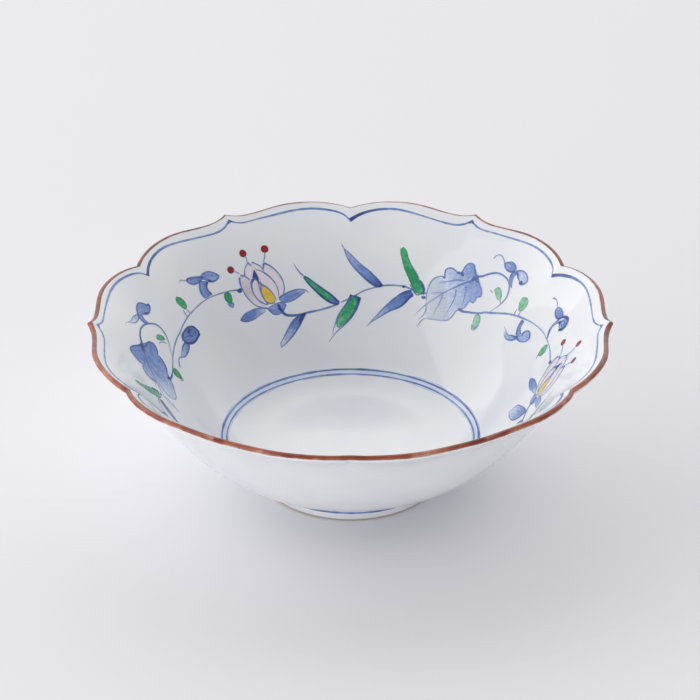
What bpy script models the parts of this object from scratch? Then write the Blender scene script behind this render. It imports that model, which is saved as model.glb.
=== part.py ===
"""A porcelain serving bowl with a six-lobed, barbed rim, in metres with +Z up.

The origin is where the bowl's axis meets the table. Three pieces make the bowl: the pressed
porcelain body, the foot ring luted under it, and the iron-brown band of glaze on its lip.
The rim has six barbs, at 0, 60 ... 300 degrees from +X, with a notch half way between each two.
"""

import math

import bmesh
import bpy
from mathutils import Vector

MM = 0.001
GAP = 0.3 * MM  # clearance between pieces that meet face to face

# The rim outline, as the middle of the lip seen from above.
LOBE_COUNT = 6
HALF_LOBE = 180 / LOBE_COUNT  # degrees from a barb to the next notch
BARB_RISE = 0.9 * MM  # how far each part of the outline stands out from the plain, unlobed lip
WAIST_RISE = -0.65 * MM
CREST_RISE = 1.0 * MM
NOTCH_RISE = -2.45 * MM
WAIST_ANGLE = 5.0  # degrees from the barb
CREST_ANGLE = 16.5
BARB_SHARPNESS = 2.2  # exponents of the two curves that end in a point
NOTCH_SHARPNESS = 2.2
LIFT_PER_RISE = 0.45  # the lip climbs where the lobe swells outwards
BARB_PEAK = 0.4 * MM  # and each barb is drawn up into a peak
LOBE_DEPTH = 17.0 * MM  # length of wall, down from the lip, over which the lobes fade out

# The meridian: the outside of the wall is one cubic curve from the foot to the lip.
FOOT_HEIGHT = 7.0 * MM
WALL_START = Vector((32.5 * MM, FOOT_HEIGHT + GAP))
WALL_START_SLOPE = 15.5  # degrees above the horizontal
WALL_START_PULL = 34.0 * MM
WALL_END = Vector((90.2 * MM, 59.2 * MM))
WALL_END_SLOPE = 33.0
WALL_END_PULL = 25.0 * MM
FOOT_WALL = 3.7 * MM  # wall thickness where it leaves the foot, and at the lip
LIP_WALL = 2.3 * MM
WELL_RADIUS = 36.0 * MM  # the nearly flat floor inside, out to where the wall begins to rise
WELL_CENTRE_HEIGHT = 12.0 * MM
WELL_EDGE_HEIGHT = 12.7 * MM
WELL_RINGS = 3
WALL_RINGS = 12
UNDER_FLOOR = ((27.0 * MM, 7.3 * MM), (20.0 * MM, 8.0 * MM), (0.0, 8.3 * MM))  # (radius, height)

# The glaze band takes the last of the wall, measured along it.
BAND_DEPTH = 1.7 * MM
BAND_ROUND_STEPS = 5

# The foot ring's section.
FOOT_OUTER_TOP = 32.7 * MM
FOOT_OUTER_LAND = 30.8 * MM
FOOT_INNER_LAND = 28.9 * MM
FOOT_INNER_TOP = 27.0 * MM
FOOT_EDGE_BEVEL = 0.6 * MM

SEGMENTS = 96  # round the bowl: a multiple of 12, so that barbs and notches fall on vertices
CROWDING = 0.45  # how strongly those vertices crowd towards the barbs and notches, 0 to 1

PORCELAIN_WHITE = (0.86, 0.87, 0.89, 1.0)
BISCUIT_WHITE = (0.80, 0.78, 0.74, 1.0)
IRON_BROWN = (0.36, 0.12, 0.06, 1.0)


def rise_at(half_lobe_angle):
    """How far the outline stands out from the plain lip, that many degrees from a barb."""
    if half_lobe_angle < WAIST_ANGLE:
        share = (1 - half_lobe_angle / WAIST_ANGLE) ** BARB_SHARPNESS
        return WAIST_RISE + (BARB_RISE - WAIST_RISE) * share
    if half_lobe_angle < CREST_ANGLE:
        share = (half_lobe_angle - WAIST_ANGLE) / (CREST_ANGLE - WAIST_ANGLE)
        return WAIST_RISE + (CREST_RISE - WAIST_RISE) * (1 - math.cos(math.pi * share)) / 2
    share = (half_lobe_angle - CREST_ANGLE) / (HALF_LOBE - CREST_ANGLE)
    return CREST_RISE + (NOTCH_RISE - CREST_RISE) * share**NOTCH_SHARPNESS


def lift_at(half_lobe_angle):
    """How far the lip stands above its plain height, that many degrees from the nearest barb."""
    peak = max(0.0, 1 - half_lobe_angle / WAIST_ANGLE) ** BARB_SHARPNESS * BARB_PEAK
    return LIFT_PER_RISE * rise_at(half_lobe_angle) + peak


def from_barb(angle):
    """Degrees from a direction in radians to the nearest barb."""
    return abs((math.degrees(angle) + HALF_LOBE) % (2 * HALF_LOBE) - HALF_LOBE)


def crowded(angle):
    """The direction moved towards the nearest barb or notch, which need the closest vertices."""
    turns = LOBE_COUNT * 2
    return angle - CROWDING * math.sin(turns * angle) / turns


def cubic(start, start_pull, end_pull, end, share):
    """A point of the cubic Bezier curve with these four control points."""
    rest = 1 - share
    middle = 3 * rest * rest * share * start_pull + 3 * rest * share * share * end_pull
    return rest**3 * start + middle + share**3 * end


def outer_wall(share):
    """A point of the wall's outside, (radius, height), from 0 at the foot to 1 at the lip."""
    start, end = math.radians(WALL_START_SLOPE), math.radians(WALL_END_SLOPE)
    leaving = WALL_START + WALL_START_PULL * Vector((math.cos(start), math.sin(start)))
    arriving = WALL_END - WALL_END_PULL * Vector((math.cos(end), math.sin(end)))
    return cubic(WALL_START, leaving, arriving, WALL_END, share)


def inner_wall(share):
    """The point of the wall's inside that faces outer_wall(share)."""
    step = 0.001
    along = outer_wall(min(1, share + step)) - outer_wall(max(0, share - step))
    inward = Vector((-along.y, along.x)).normalized()
    return outer_wall(share) + inward * (FOOT_WALL + (LIP_WALL - FOOT_WALL) * share)


def wall_directions():
    """(along, inward) unit vectors of the wall at its lip."""
    slope = math.radians(WALL_END_SLOPE)
    return Vector((math.cos(slope), math.sin(slope))), Vector((-math.sin(slope), math.cos(slope)))


def body_section():
    """The body's half section, from the middle of the well round the lip to under the floor."""
    well = []
    for ring in range(WELL_RINGS + 1):
        share = ring / WELL_RINGS
        rise = (WELL_EDGE_HEIGHT - WELL_CENTRE_HEIGHT) * share**2
        well.append(Vector((WELL_RADIUS * share, WELL_CENTRE_HEIGHT + rise)))
    along, _ = wall_directions()
    cut_back = along * (BAND_DEPTH + GAP)
    shares = [ring / WALL_RINGS for ring in range(WALL_RINGS + 1)]
    inside = [inner_wall(share) for share in shares[:-1]]
    inside = [point for point in inside if point.x > WELL_RADIUS]
    inside.append(inner_wall(1) - cut_back)
    outside = [outer_wall(1) - cut_back]
    outside += [outer_wall(share) for share in reversed(shares[:-1])]
    under = [Vector(point) for point in UNDER_FLOOR]
    return well + inside + outside + under


def band_section():
    """The glaze band's closed section: a flat root on the wall and a half-round crown."""
    along, inward = wall_directions()
    root_outside = outer_wall(1) - along * BAND_DEPTH
    root_inside = root_outside + inward * LIP_WALL
    radius = LIP_WALL / 2
    centre = (root_outside + root_inside) / 2 + along * (BAND_DEPTH - radius)
    section = [root_outside]
    for step in range(BAND_ROUND_STEPS + 1):
        turn = math.pi * step / BAND_ROUND_STEPS
        section.append(centre + radius * (along * math.sin(turn) - inward * math.cos(turn)))
    section.append(root_inside)
    return section


def foot_section():
    """The foot ring's closed section: tapered sides, and a flat land that it stands on."""
    bevel = FOOT_EDGE_BEVEL
    return [
        Vector((FOOT_OUTER_TOP, FOOT_HEIGHT)),
        Vector((FOOT_INNER_TOP, FOOT_HEIGHT)),
        Vector((FOOT_INNER_LAND - bevel, bevel)),
        Vector((FOOT_INNER_LAND, 0)),
        Vector((FOOT_OUTER_LAND, 0)),
        Vector((FOOT_OUTER_LAND + bevel, bevel)),
    ]


def turned(section, closed):
    """A bmesh of the section spun about the Z axis, with its poles and its seam closed."""
    mesh = bmesh.new()
    points = [mesh.verts.new((point.x, 0, point.y)) for point in section]
    edges = [mesh.edges.new(pair) for pair in zip(points, points[1:])]
    if closed:
        edges.append(mesh.edges.new((points[-1], points[0])))
    bmesh.ops.spin(
        mesh,
        geom=points + edges,
        cent=(0, 0, 0),
        axis=(0, 0, 1),
        angle=2 * math.pi,
        steps=SEGMENTS,
        use_merge=True,
    )
    bmesh.ops.remove_doubles(mesh, verts=mesh.verts, dist=0.001 * MM)
    bmesh.ops.recalc_face_normals(mesh, faces=mesh.faces)
    return mesh


def press_lobes(mesh):
    """Moves the vertices near the lip out and up to the lobed outline, fading down the wall."""
    lip = (outer_wall(1) + inner_wall(1)) / 2
    for vertex in mesh.verts:
        radius = math.hypot(vertex.co.x, vertex.co.y)
        if radius < MM:
            continue
        angle = crowded(math.atan2(vertex.co.y, vertex.co.x))
        depth = (lip - Vector((radius, vertex.co.z))).length
        share = max(0.0, 1 - depth / LOBE_DEPTH)
        weight = share * share * (3 - 2 * share)
        half_lobe_angle = from_barb(angle)
        radius += weight * rise_at(half_lobe_angle)
        height = vertex.co.z + weight * lift_at(half_lobe_angle)
        vertex.co = (radius * math.cos(angle), radius * math.sin(angle), height)


def finish(name):
    """A Principled material for one of the bowl's finishes."""
    colour, roughness = {
        "glazed_porcelain": (PORCELAIN_WHITE, 0.08),
        "foot_porcelain": (BISCUIT_WHITE, 0.35),
        "iron_brown_glaze": (IRON_BROWN, 0.15),
    }[name]
    material = bpy.data.materials.new(name)
    material.use_nodes = True
    shader = material.node_tree.nodes["Principled BSDF"]
    shader.inputs["Base Color"].default_value = colour
    shader.inputs["Roughness"].default_value = roughness
    shader.inputs["Metallic"].default_value = 0.0
    return material


def add_piece(name, mesh, finish_name):
    """Links the bmesh as one named, smooth-shaded object on the bowl's axis."""
    data = bpy.data.meshes.new(name)
    mesh.to_mesh(data)
    mesh.free()
    data.shade_smooth()
    data.set_sharp_from_angle(angle=math.radians(35))
    data.materials.append(finish(finish_name))
    piece = bpy.data.objects.new(name, data)
    bpy.context.scene.collection.objects.link(piece)
    return piece


def clear_scene():
    """Empties the scene that Blender starts with."""
    for stale in list(bpy.data.objects):
        bpy.data.objects.remove(stale)


def main():
    """Builds the bowl's three pieces on one empty that marks its axis."""
    clear_scene()
    axis = bpy.data.objects.new("bowl_axis", None)
    bpy.context.scene.collection.objects.link(axis)

    body = turned(body_section(), closed=False)
    press_lobes(body)
    band = turned(band_section(), closed=True)
    press_lobes(band)
    foot = turned(foot_section(), closed=True)

    pieces = [
        add_piece("bowl_body", body, "glazed_porcelain"),
        add_piece("rim_band", band, "iron_brown_glaze"),
        add_piece("foot_ring", foot, "foot_porcelain"),
    ]
    for piece in pieces:
        piece.parent = axis


main()
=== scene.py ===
"""Looks for the painted porcelain bowl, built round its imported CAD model.

Everything is in metres, with +Z up and the bowl standing on its foot at the origin. Places on the
bowl are given as a maker would give them: a bearing, in degrees clockwise from +Y seen from above,
and a depth, in millimetres measured down the inside wall from the lip.
"""

import logging
import math
from collections.abc import Sequence
from dataclasses import dataclass
from enum import Enum

import bmesh
import bpy
import numpy as np
from mathutils import Matrix, Vector

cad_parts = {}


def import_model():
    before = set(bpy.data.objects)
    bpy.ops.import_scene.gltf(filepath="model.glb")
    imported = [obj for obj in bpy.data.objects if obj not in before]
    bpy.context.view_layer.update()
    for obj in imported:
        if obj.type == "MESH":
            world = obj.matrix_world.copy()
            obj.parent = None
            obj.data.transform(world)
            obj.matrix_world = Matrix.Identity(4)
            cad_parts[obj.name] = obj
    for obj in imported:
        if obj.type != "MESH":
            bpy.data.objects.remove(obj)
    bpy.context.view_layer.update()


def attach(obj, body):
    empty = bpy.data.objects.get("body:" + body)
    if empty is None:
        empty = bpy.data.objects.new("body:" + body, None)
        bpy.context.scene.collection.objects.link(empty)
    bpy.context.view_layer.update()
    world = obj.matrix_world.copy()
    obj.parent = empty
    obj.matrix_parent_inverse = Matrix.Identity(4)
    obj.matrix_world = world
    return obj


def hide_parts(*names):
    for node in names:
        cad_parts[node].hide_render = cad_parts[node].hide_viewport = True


MM = 0.001
MERGE_DISTANCE = 0.0005 * MM  # vertices nearer than this are one
SPAN_STEPS = 12  # points worked out between two given ones
ROOT = "root"

log = logging.getLogger("bowl")

Path = Sequence[tuple[float, float]]
Numbers = np.ndarray
Material = bpy.types.Material
Tree = bpy.types.NodeTree
Socket = bpy.types.NodeSocket
Brushing = tuple[Sequence[float], Sequence[float]]  # a line's widths in mm, and its brush loads


def linear(code: str) -> tuple[float, float, float, float]:
    """Turns an sRGB hex colour into the linear RGBA that a shader takes.

    Args:
        code: Six hex digits, without a hash.

    Returns:
        The linear red, green, blue and an alpha of 1.
    """
    channels = (int(code[start : start + 2], 16) / 255 for start in (0, 2, 4))
    toe, scale, lift, power = 0.04045, 12.92, 0.055, 2.4
    made = [c / scale if c <= toe else ((c + lift) / (1 + lift)) ** power for c in channels]
    return (made[0], made[1], made[2], 1.0)


def add_node(tree: Tree, kind: str, inputs: dict | None = None, **settings) -> bpy.types.Node:
    """Adds a node, sets its properties, and fills or links its inputs.

    Args:
        tree: The node tree that gets the node.
        kind: The node's Blender type name.
        inputs: Input name or index to a value, or to the output socket to link from.
        **settings: The node's own properties.

    Returns:
        The new node.
    """
    node = tree.nodes.new(kind)
    for name, value in settings.items():
        setattr(node, name, value)
    for name, value in (inputs or {}).items():
        if isinstance(value, bpy.types.NodeSocket):
            tree.links.new(value, node.inputs[name])
        else:
            node.inputs[name].default_value = value
    return node


def smoothstep(share: Numbers) -> Numbers:
    """The usual ease from 0 to 1, clamped at both ends."""
    held = np.clip(share, 0, 1)
    return held * held * (3 - 2 * held)


def waves(angle: Numbers, seed: int, counts: Sequence[int]) -> Numbers:
    """A smooth seeded wobble round a circle, for what a hand does unevenly.

    Args:
        angle: Angles in radians.
        seed: Picks the wobble's phases.
        counts: How many waves each of its parts makes in one turn.

    Returns:
        The wobble at each angle, about -1 to 1.
    """
    rng = np.random.default_rng(seed)
    phases = rng.uniform(0, 2 * math.pi, len(counts))
    parts = [np.sin(count * angle + phase) for count, phase in zip(counts, phases)]
    return sum(parts) / math.sqrt(len(counts))


# ---------------------------------------------------------------------------- the bowl's form


@dataclass(frozen=True)
class LobedRim:
    """The outline that six lobes give the lip, with a barb and a notch between them by turns."""

    lobes: int = 6
    barb_rise: float = 0.9
    waist_rise: float = -0.65
    crest_rise: float = 1.0
    notch_rise: float = -2.45
    waist_angle: float = 5.0
    crest_angle: float = 16.5
    sharpness: float = 2.2
    lift_per_rise: float = 0.45
    barb_peak: float = 0.4
    fade_length: float = 17.0

    def from_barb(self, bearing: Numbers) -> Numbers:
        """Degrees from each bearing to the nearest barb."""
        half = 180 / self.lobes
        return np.abs((np.asarray(bearing) - 90 + half) % (2 * half) - half)

    def rise(self, bearing: Numbers) -> Numbers:
        """Millimetres that the outline stands out from the plain rim at each bearing.

        Args:
            bearing: Degrees clockwise from +Y.

        Returns:
            The rise at each bearing.
        """
        off = self.from_barb(bearing)
        half = 180 / self.lobes
        barb = np.clip(1 - off / self.waist_angle, 0, 1) ** self.sharpness
        swell = np.clip((off - self.waist_angle) / (self.crest_angle - self.waist_angle), 0, 1)
        notch = np.clip((off - self.crest_angle) / (half - self.crest_angle), 0, 1) ** self.sharpness
        lobe = (1 - np.cos(math.pi * swell)) / 2
        made = self.waist_rise + (self.barb_rise - self.waist_rise) * barb
        made += (self.crest_rise - self.waist_rise) * lobe
        return made + (self.notch_rise - self.crest_rise) * notch

    def lift(self, bearing: Numbers) -> Numbers:
        """Millimetres that the lip stands above its plain height at each bearing."""
        peak = np.clip(1 - self.from_barb(bearing) / self.waist_angle, 0, 1) ** self.sharpness
        return self.lift_per_rise * self.rise(bearing) + self.barb_peak * peak


@dataclass(frozen=True)
class BowlForm:
    """The bowl's meridian, in millimetres, and the lobes pressed into it."""

    rim: LobedRim = LobedRim()
    wall_start: tuple[float, float] = (32.5, 7.3)
    wall_start_slope: float = 15.5
    wall_start_pull: float = 34.0
    wall_end: tuple[float, float] = (90.2, 59.2)
    wall_end_slope: float = 33.0
    wall_end_pull: float = 25.0
    foot_wall: float = 3.7
    lip_wall: float = 2.3
    well_radius: float = 36.0
    well_centre_height: float = 12.0
    well_edge_height: float = 12.7
    well_blend: float = 1.1
    blend_reach: float = 60.0
    wall_samples: int = 800
    well_samples: int = 900

    def outer(self, share: Numbers) -> Numbers:
        """Points (radius, height) on the wall's outside, from 0 at the foot to 1 at the lip.

        Args:
            share: How far up the wall, from 0 to 1.

        Returns:
            The points, in millimetres.
        """
        start, end = math.radians(self.wall_start_slope), math.radians(self.wall_end_slope)
        first, last = np.array(self.wall_start), np.array(self.wall_end)
        leaving = first + self.wall_start_pull * np.array((math.cos(start), math.sin(start)))
        arriving = last - self.wall_end_pull * np.array((math.cos(end), math.sin(end)))
        t = np.asarray(share, float)[..., None]
        rest = 1 - t
        middle = 3 * rest * rest * t * leaving + 3 * rest * t * t * arriving
        return rest**3 * first + middle + t**3 * last

    def inner(self, share: Numbers) -> Numbers:
        """Points (radius, height) on the wall's inside, facing those of outer.

        Args:
            share: How far up the wall, from 0 to 1.

        Returns:
            The points, in millimetres.
        """
        step = 0.001
        share = np.asarray(share, float)
        along = self.outer(np.clip(share + step, 0, 1)) - self.outer(np.clip(share - step, 0, 1))
        inward = np.stack([-along[..., 1], along[..., 0]], -1)
        inward /= np.linalg.norm(inward, axis=-1, keepdims=True)
        thickness = self.foot_wall + (self.lip_wall - self.foot_wall) * share
        return self.outer(share) + inward * thickness[..., None]

    def inside_line(self) -> tuple[Numbers, Numbers]:
        """The inside's meridian, with the wall running softly into the well.

        Returns:
            Depths below the lip, and the point (radius, height) at each, down to the centre.
        """
        wall = self.inner(np.linspace(0, 1, self.wall_samples))
        radius = np.linspace(wall[-1, 0], 0, self.well_samples)
        start = wall[0, 1] + (radius - wall[0, 0]) * math.tan(math.radians(self.wall_start_slope))
        climb = np.where(radius > wall[0, 0], np.interp(radius, wall[:, 0], wall[:, 1]), start)
        rise = self.well_edge_height - self.well_centre_height
        well = self.well_centre_height + rise * (radius / self.well_radius) ** 2
        height = self.well_blend * np.logaddexp(climb / self.well_blend, well / self.well_blend)
        line = np.stack([radius, np.where(radius > self.blend_reach, climb, height)], -1)
        steps = np.linalg.norm(np.diff(line, axis=0), axis=1)
        return np.concatenate([[0], np.cumsum(steps)]), line

    def outside_line(self) -> tuple[Numbers, Numbers]:
        """The outside's meridian.

        Returns:
            Depths below the lip, and the point (radius, height) at each, down to the foot.
        """
        line = self.outer(np.linspace(1, 0, self.wall_samples))
        steps = np.linalg.norm(np.diff(line, axis=0), axis=1)
        return np.concatenate([[0], np.cumsum(steps)]), line

    def lip_axes(self) -> tuple[Numbers, Numbers, Numbers]:
        """The lip's own axes, in the middle of the wall.

        Returns:
            The end point, the unit vector along the wall, and the one inward.
        """
        slope = math.radians(self.wall_end_slope)
        along = np.array((math.cos(slope), math.sin(slope)))
        inward = np.array((-along[1], along[0]))
        return np.array(self.wall_end) + inward * self.lip_wall / 2, along, inward

    def pressed(self, bearing: Numbers, radius: Numbers, height: Numbers) -> Numbers:
        """Turns meridian points into space, with the lobes pressed in.

        Args:
            bearing: Degrees clockwise from +Y.
            radius: Millimetres from the axis, on the plain turned form.
            height: Millimetres above the foot.

        Returns:
            The points in metres, as rows of x, y and z.
        """
        tip, _, _ = self.lip_axes()
        depth = np.hypot(radius - tip[0], height - tip[1])
        weight = smoothstep(1 - depth / self.rim.fade_length)
        out = (radius + weight * self.rim.rise(bearing)) * MM
        up = (height + weight * self.rim.lift(bearing)) * MM
        turn = np.radians(bearing)
        return np.stack([out * np.sin(turn), out * np.cos(turn), up + 0 * out], -1)


class Surface:
    """A face of the bowl that paint can lie on, addressed by bearing and depth."""

    facing: float = 1.0

    def __init__(self, form: BowlForm) -> None:
        """Keeps the form that the face belongs to."""
        self.form = form

    def meridian(self, depth: Numbers) -> Numbers:
        """Points (radius, height) at these depths, in millimetres."""
        raise NotImplementedError

    def degrees_per_mm(self, depth: Numbers) -> Numbers:
        """How many degrees of bearing one millimetre is, at these depths."""
        return np.degrees(1 / self.meridian(depth)[..., 0])

    def bare(self, bearing: Numbers, depth: Numbers) -> Numbers:
        """Points on the face itself, in metres."""
        line = self.meridian(depth)
        return self.form.pressed(bearing, line[..., 0], line[..., 1])

    def normal(self, bearing: Numbers, depth: Numbers) -> Numbers:
        """Unit normals that point off the face, on the side where paint lies.

        Args:
            bearing: Degrees clockwise from +Y.
            depth: Depths on the face, in millimetres.

        Returns:
            The normals, as rows of x, y and z.
        """
        step = 0.05
        round_it = self.bare(bearing + step, depth) - self.bare(bearing - step, depth)
        down_it = self.bare(bearing, depth + step) - self.bare(bearing, depth - step)
        made = np.cross(down_it, round_it) * self.facing
        return made / np.linalg.norm(made, axis=-1, keepdims=True)

    def place(self, bearing: Numbers, depth: Numbers, lift: Numbers) -> Numbers:
        """Points that stand a lift, in millimetres, off the face."""
        return self.bare(bearing, depth) + self.normal(bearing, depth) * np.asarray(lift)[..., None] * MM


class InnerWall(Surface):
    """The glazed inside, with depth measured down from the lip."""

    def __init__(self, form: BowlForm) -> None:
        """Measures the inside's meridian once."""
        super().__init__(form)
        self.depths, self.line = form.inside_line()

    def meridian(self, depth: Numbers) -> Numbers:
        """Points (radius, height) at these depths, in millimetres."""
        radius = np.interp(depth, self.depths, self.line[:, 0])
        return np.stack([radius, np.interp(depth, self.depths, self.line[:, 1])], -1)

    def depth_of(self, radius: float) -> float:
        """The depth at which the inside has this radius."""
        return float(np.interp(-radius, -self.line[:, 0], self.depths))


class Lip(Surface):
    """The rounded lip. Depth runs over its crown, from below 0 inside the bowl to above 0 outside."""

    crown_radius: float = 1.09
    facing: float = -1.0

    def meridian(self, depth: Numbers) -> Numbers:
        """Points (radius, height): a half circle, and the wall's straight faces beyond it.

        Args:
            depth: Depths on the face, in millimetres.

        Returns:
            The points, in millimetres.
        """
        tip, along, inward = self.form.lip_axes()
        centre = tip - along * self.form.lip_wall / 2
        depth = np.asarray(depth, float)
        quarter = self.crown_radius * math.pi / 2
        angle = np.clip(depth, -quarter, quarter) / self.crown_radius
        beyond = np.abs(depth) - np.minimum(np.abs(depth), quarter)
        arc = np.cos(angle)[..., None] * along - np.sin(angle)[..., None] * inward
        return centre + self.crown_radius * arc - beyond[..., None] * along


FOOT_SIDE: Path = (
    (35.2, 8.13), (34.3, 7.75), (33.5, 7.35), (33.0, 6.95), (32.7, 6.4), (32.45, 5.0), (32.0, 3.0),
    (31.5, 1.3), (31.25, 0.75),
)


class FootSide(Surface):
    """The foot ring's outside, with depth measured as the height below its seam with the body."""

    facing: float = -1.0

    def meridian(self, depth: Numbers) -> Numbers:
        """Points (radius, height) down the foot's tapered side.

        Args:
            depth: Depths on the face, in millimetres.

        Returns:
            The points, in millimetres.
        """
        side = np.array(FOOT_SIDE)
        height = side[0, 1] - np.asarray(depth, float)
        return np.stack([np.interp(height, side[::-1, 1], side[::-1, 0]), height], -1)


# ---------------------------------------------------------------------------- finishes


def object_point(tree: Tree) -> Socket:
    """The socket that gives a shaded point's place on its object, in metres."""
    return add_node(tree, "ShaderNodeTexCoord").outputs["Object"]


def new_tree(name: str) -> tuple[Material, Tree]:
    """Makes an empty node material.

    Args:
        name: The material's name.

    Returns:
        The material and its node tree.
    """
    material = bpy.data.materials.new(name)
    material.use_nodes = True
    material.node_tree.nodes.clear()
    return material, material.node_tree


def glass_coat(
    tree: Tree,
    colour: Socket,
    normal: Socket,
    roughness: float,
    cover: Socket | None = None,
) -> None:
    """Ends a tree in a glossy fired glaze of this colour.

    Args:
        tree: The node tree to end.
        colour: The body colour under the clear glaze.
        normal: The glaze's slightly uneven surface.
        roughness: How far the gloss is from a mirror.
        cover: For a film of colour, how much of what lies under it the film hides.
    """
    shader = add_node(
        tree, "ShaderNodeBsdfPrincipled",
        {"Base Color": colour, "Normal": normal, "Roughness": roughness, "IOR": 1.5, "Metallic": 0.0},
    )
    shader.inputs["Specular IOR Level"].default_value = 0.5
    surface = shader.outputs["BSDF"]
    if cover is not None:
        clear = add_node(tree, "ShaderNodeBsdfTransparent").outputs["BSDF"]
        surface = add_node(tree, "ShaderNodeMixShader", {0: cover, 1: clear, 2: surface}).outputs["Shader"]
    add_node(tree, "ShaderNodeOutputMaterial", {"Surface": surface})


def mix_colours(tree: Tree, share: Socket, first: tuple[float, ...], second: tuple[float, ...]) -> Socket:
    """Mixes two colours.

    Args:
        tree: The node tree to add to.
        share: How much of the second colour there is.
        first: The first linear colour.
        second: The second linear colour.

    Returns:
        The mixed colour's socket.
    """
    mix = tree.nodes.new("ShaderNodeMix")
    mix.data_type = "RGBA"
    colours = [socket for socket in mix.inputs if socket.type == "RGBA"]
    colours[0].default_value = first
    colours[1].default_value = second
    tree.links.new(share, mix.inputs["Factor"])
    return next(socket for socket in mix.outputs if socket.type == "RGBA")


@dataclass(frozen=True)
class ClearGlaze:
    """High-fired white porcelain under a clear feldspar glaze.

    It gives the eye a cool white with hardly any texture: a faint cloudiness where the glaze is
    thicker, and a surface that is flat to the touch but bends reflections a little.
    """

    name: str = "clear_glazed_porcelain"
    white: str = "F0F1F3"
    cloud: str = "E9ECF1"
    cloud_size: float = 26.0
    cloud_range: tuple[float, float] = (0.35, 0.7)
    ripple_size: float = 7.0
    ripple_height: float = 0.012
    roughness: float = 0.07

    def ground(self, tree: Tree) -> Socket:
        """Adds the glaze's colour.

        Args:
            tree: The node tree to add to.

        Returns:
            The colour's socket.
        """
        clouds = add_node(
            tree, "ShaderNodeTexNoise",
            {"Vector": object_point(tree), "Scale": 1 / (self.cloud_size * MM), "Detail": 2.0},
        )
        share = add_node(
            tree,
            "ShaderNodeMapRange",
            {
                "Value": clouds.outputs["Fac"], "From Min": self.cloud_range[0],
                "From Max": self.cloud_range[1],
            },
        )
        return mix_colours(tree, share.outputs["Result"], linear(self.white), linear(self.cloud))

    def ripple(self, tree: Tree) -> Socket:
        """Adds the glaze's slow unevenness.

        Args:
            tree: The node tree to add to.

        Returns:
            The normal's socket.
        """
        noise = add_node(
            tree, "ShaderNodeTexNoise",
            {"Vector": object_point(tree), "Scale": 1 / (self.ripple_size * MM), "Detail": 1.0},
        )
        bump = add_node(
            tree, "ShaderNodeBump",
            {"Height": noise.outputs["Fac"], "Strength": 1.0, "Distance": self.ripple_height * MM},
        )
        return bump.outputs["Normal"]

    def material(self) -> Material:
        """Builds the material.

        Returns:
            The finished material.
        """
        made, tree = new_tree(self.name)
        glass_coat(tree, self.ground(tree), self.ripple(tree), self.roughness)
        return made


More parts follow.
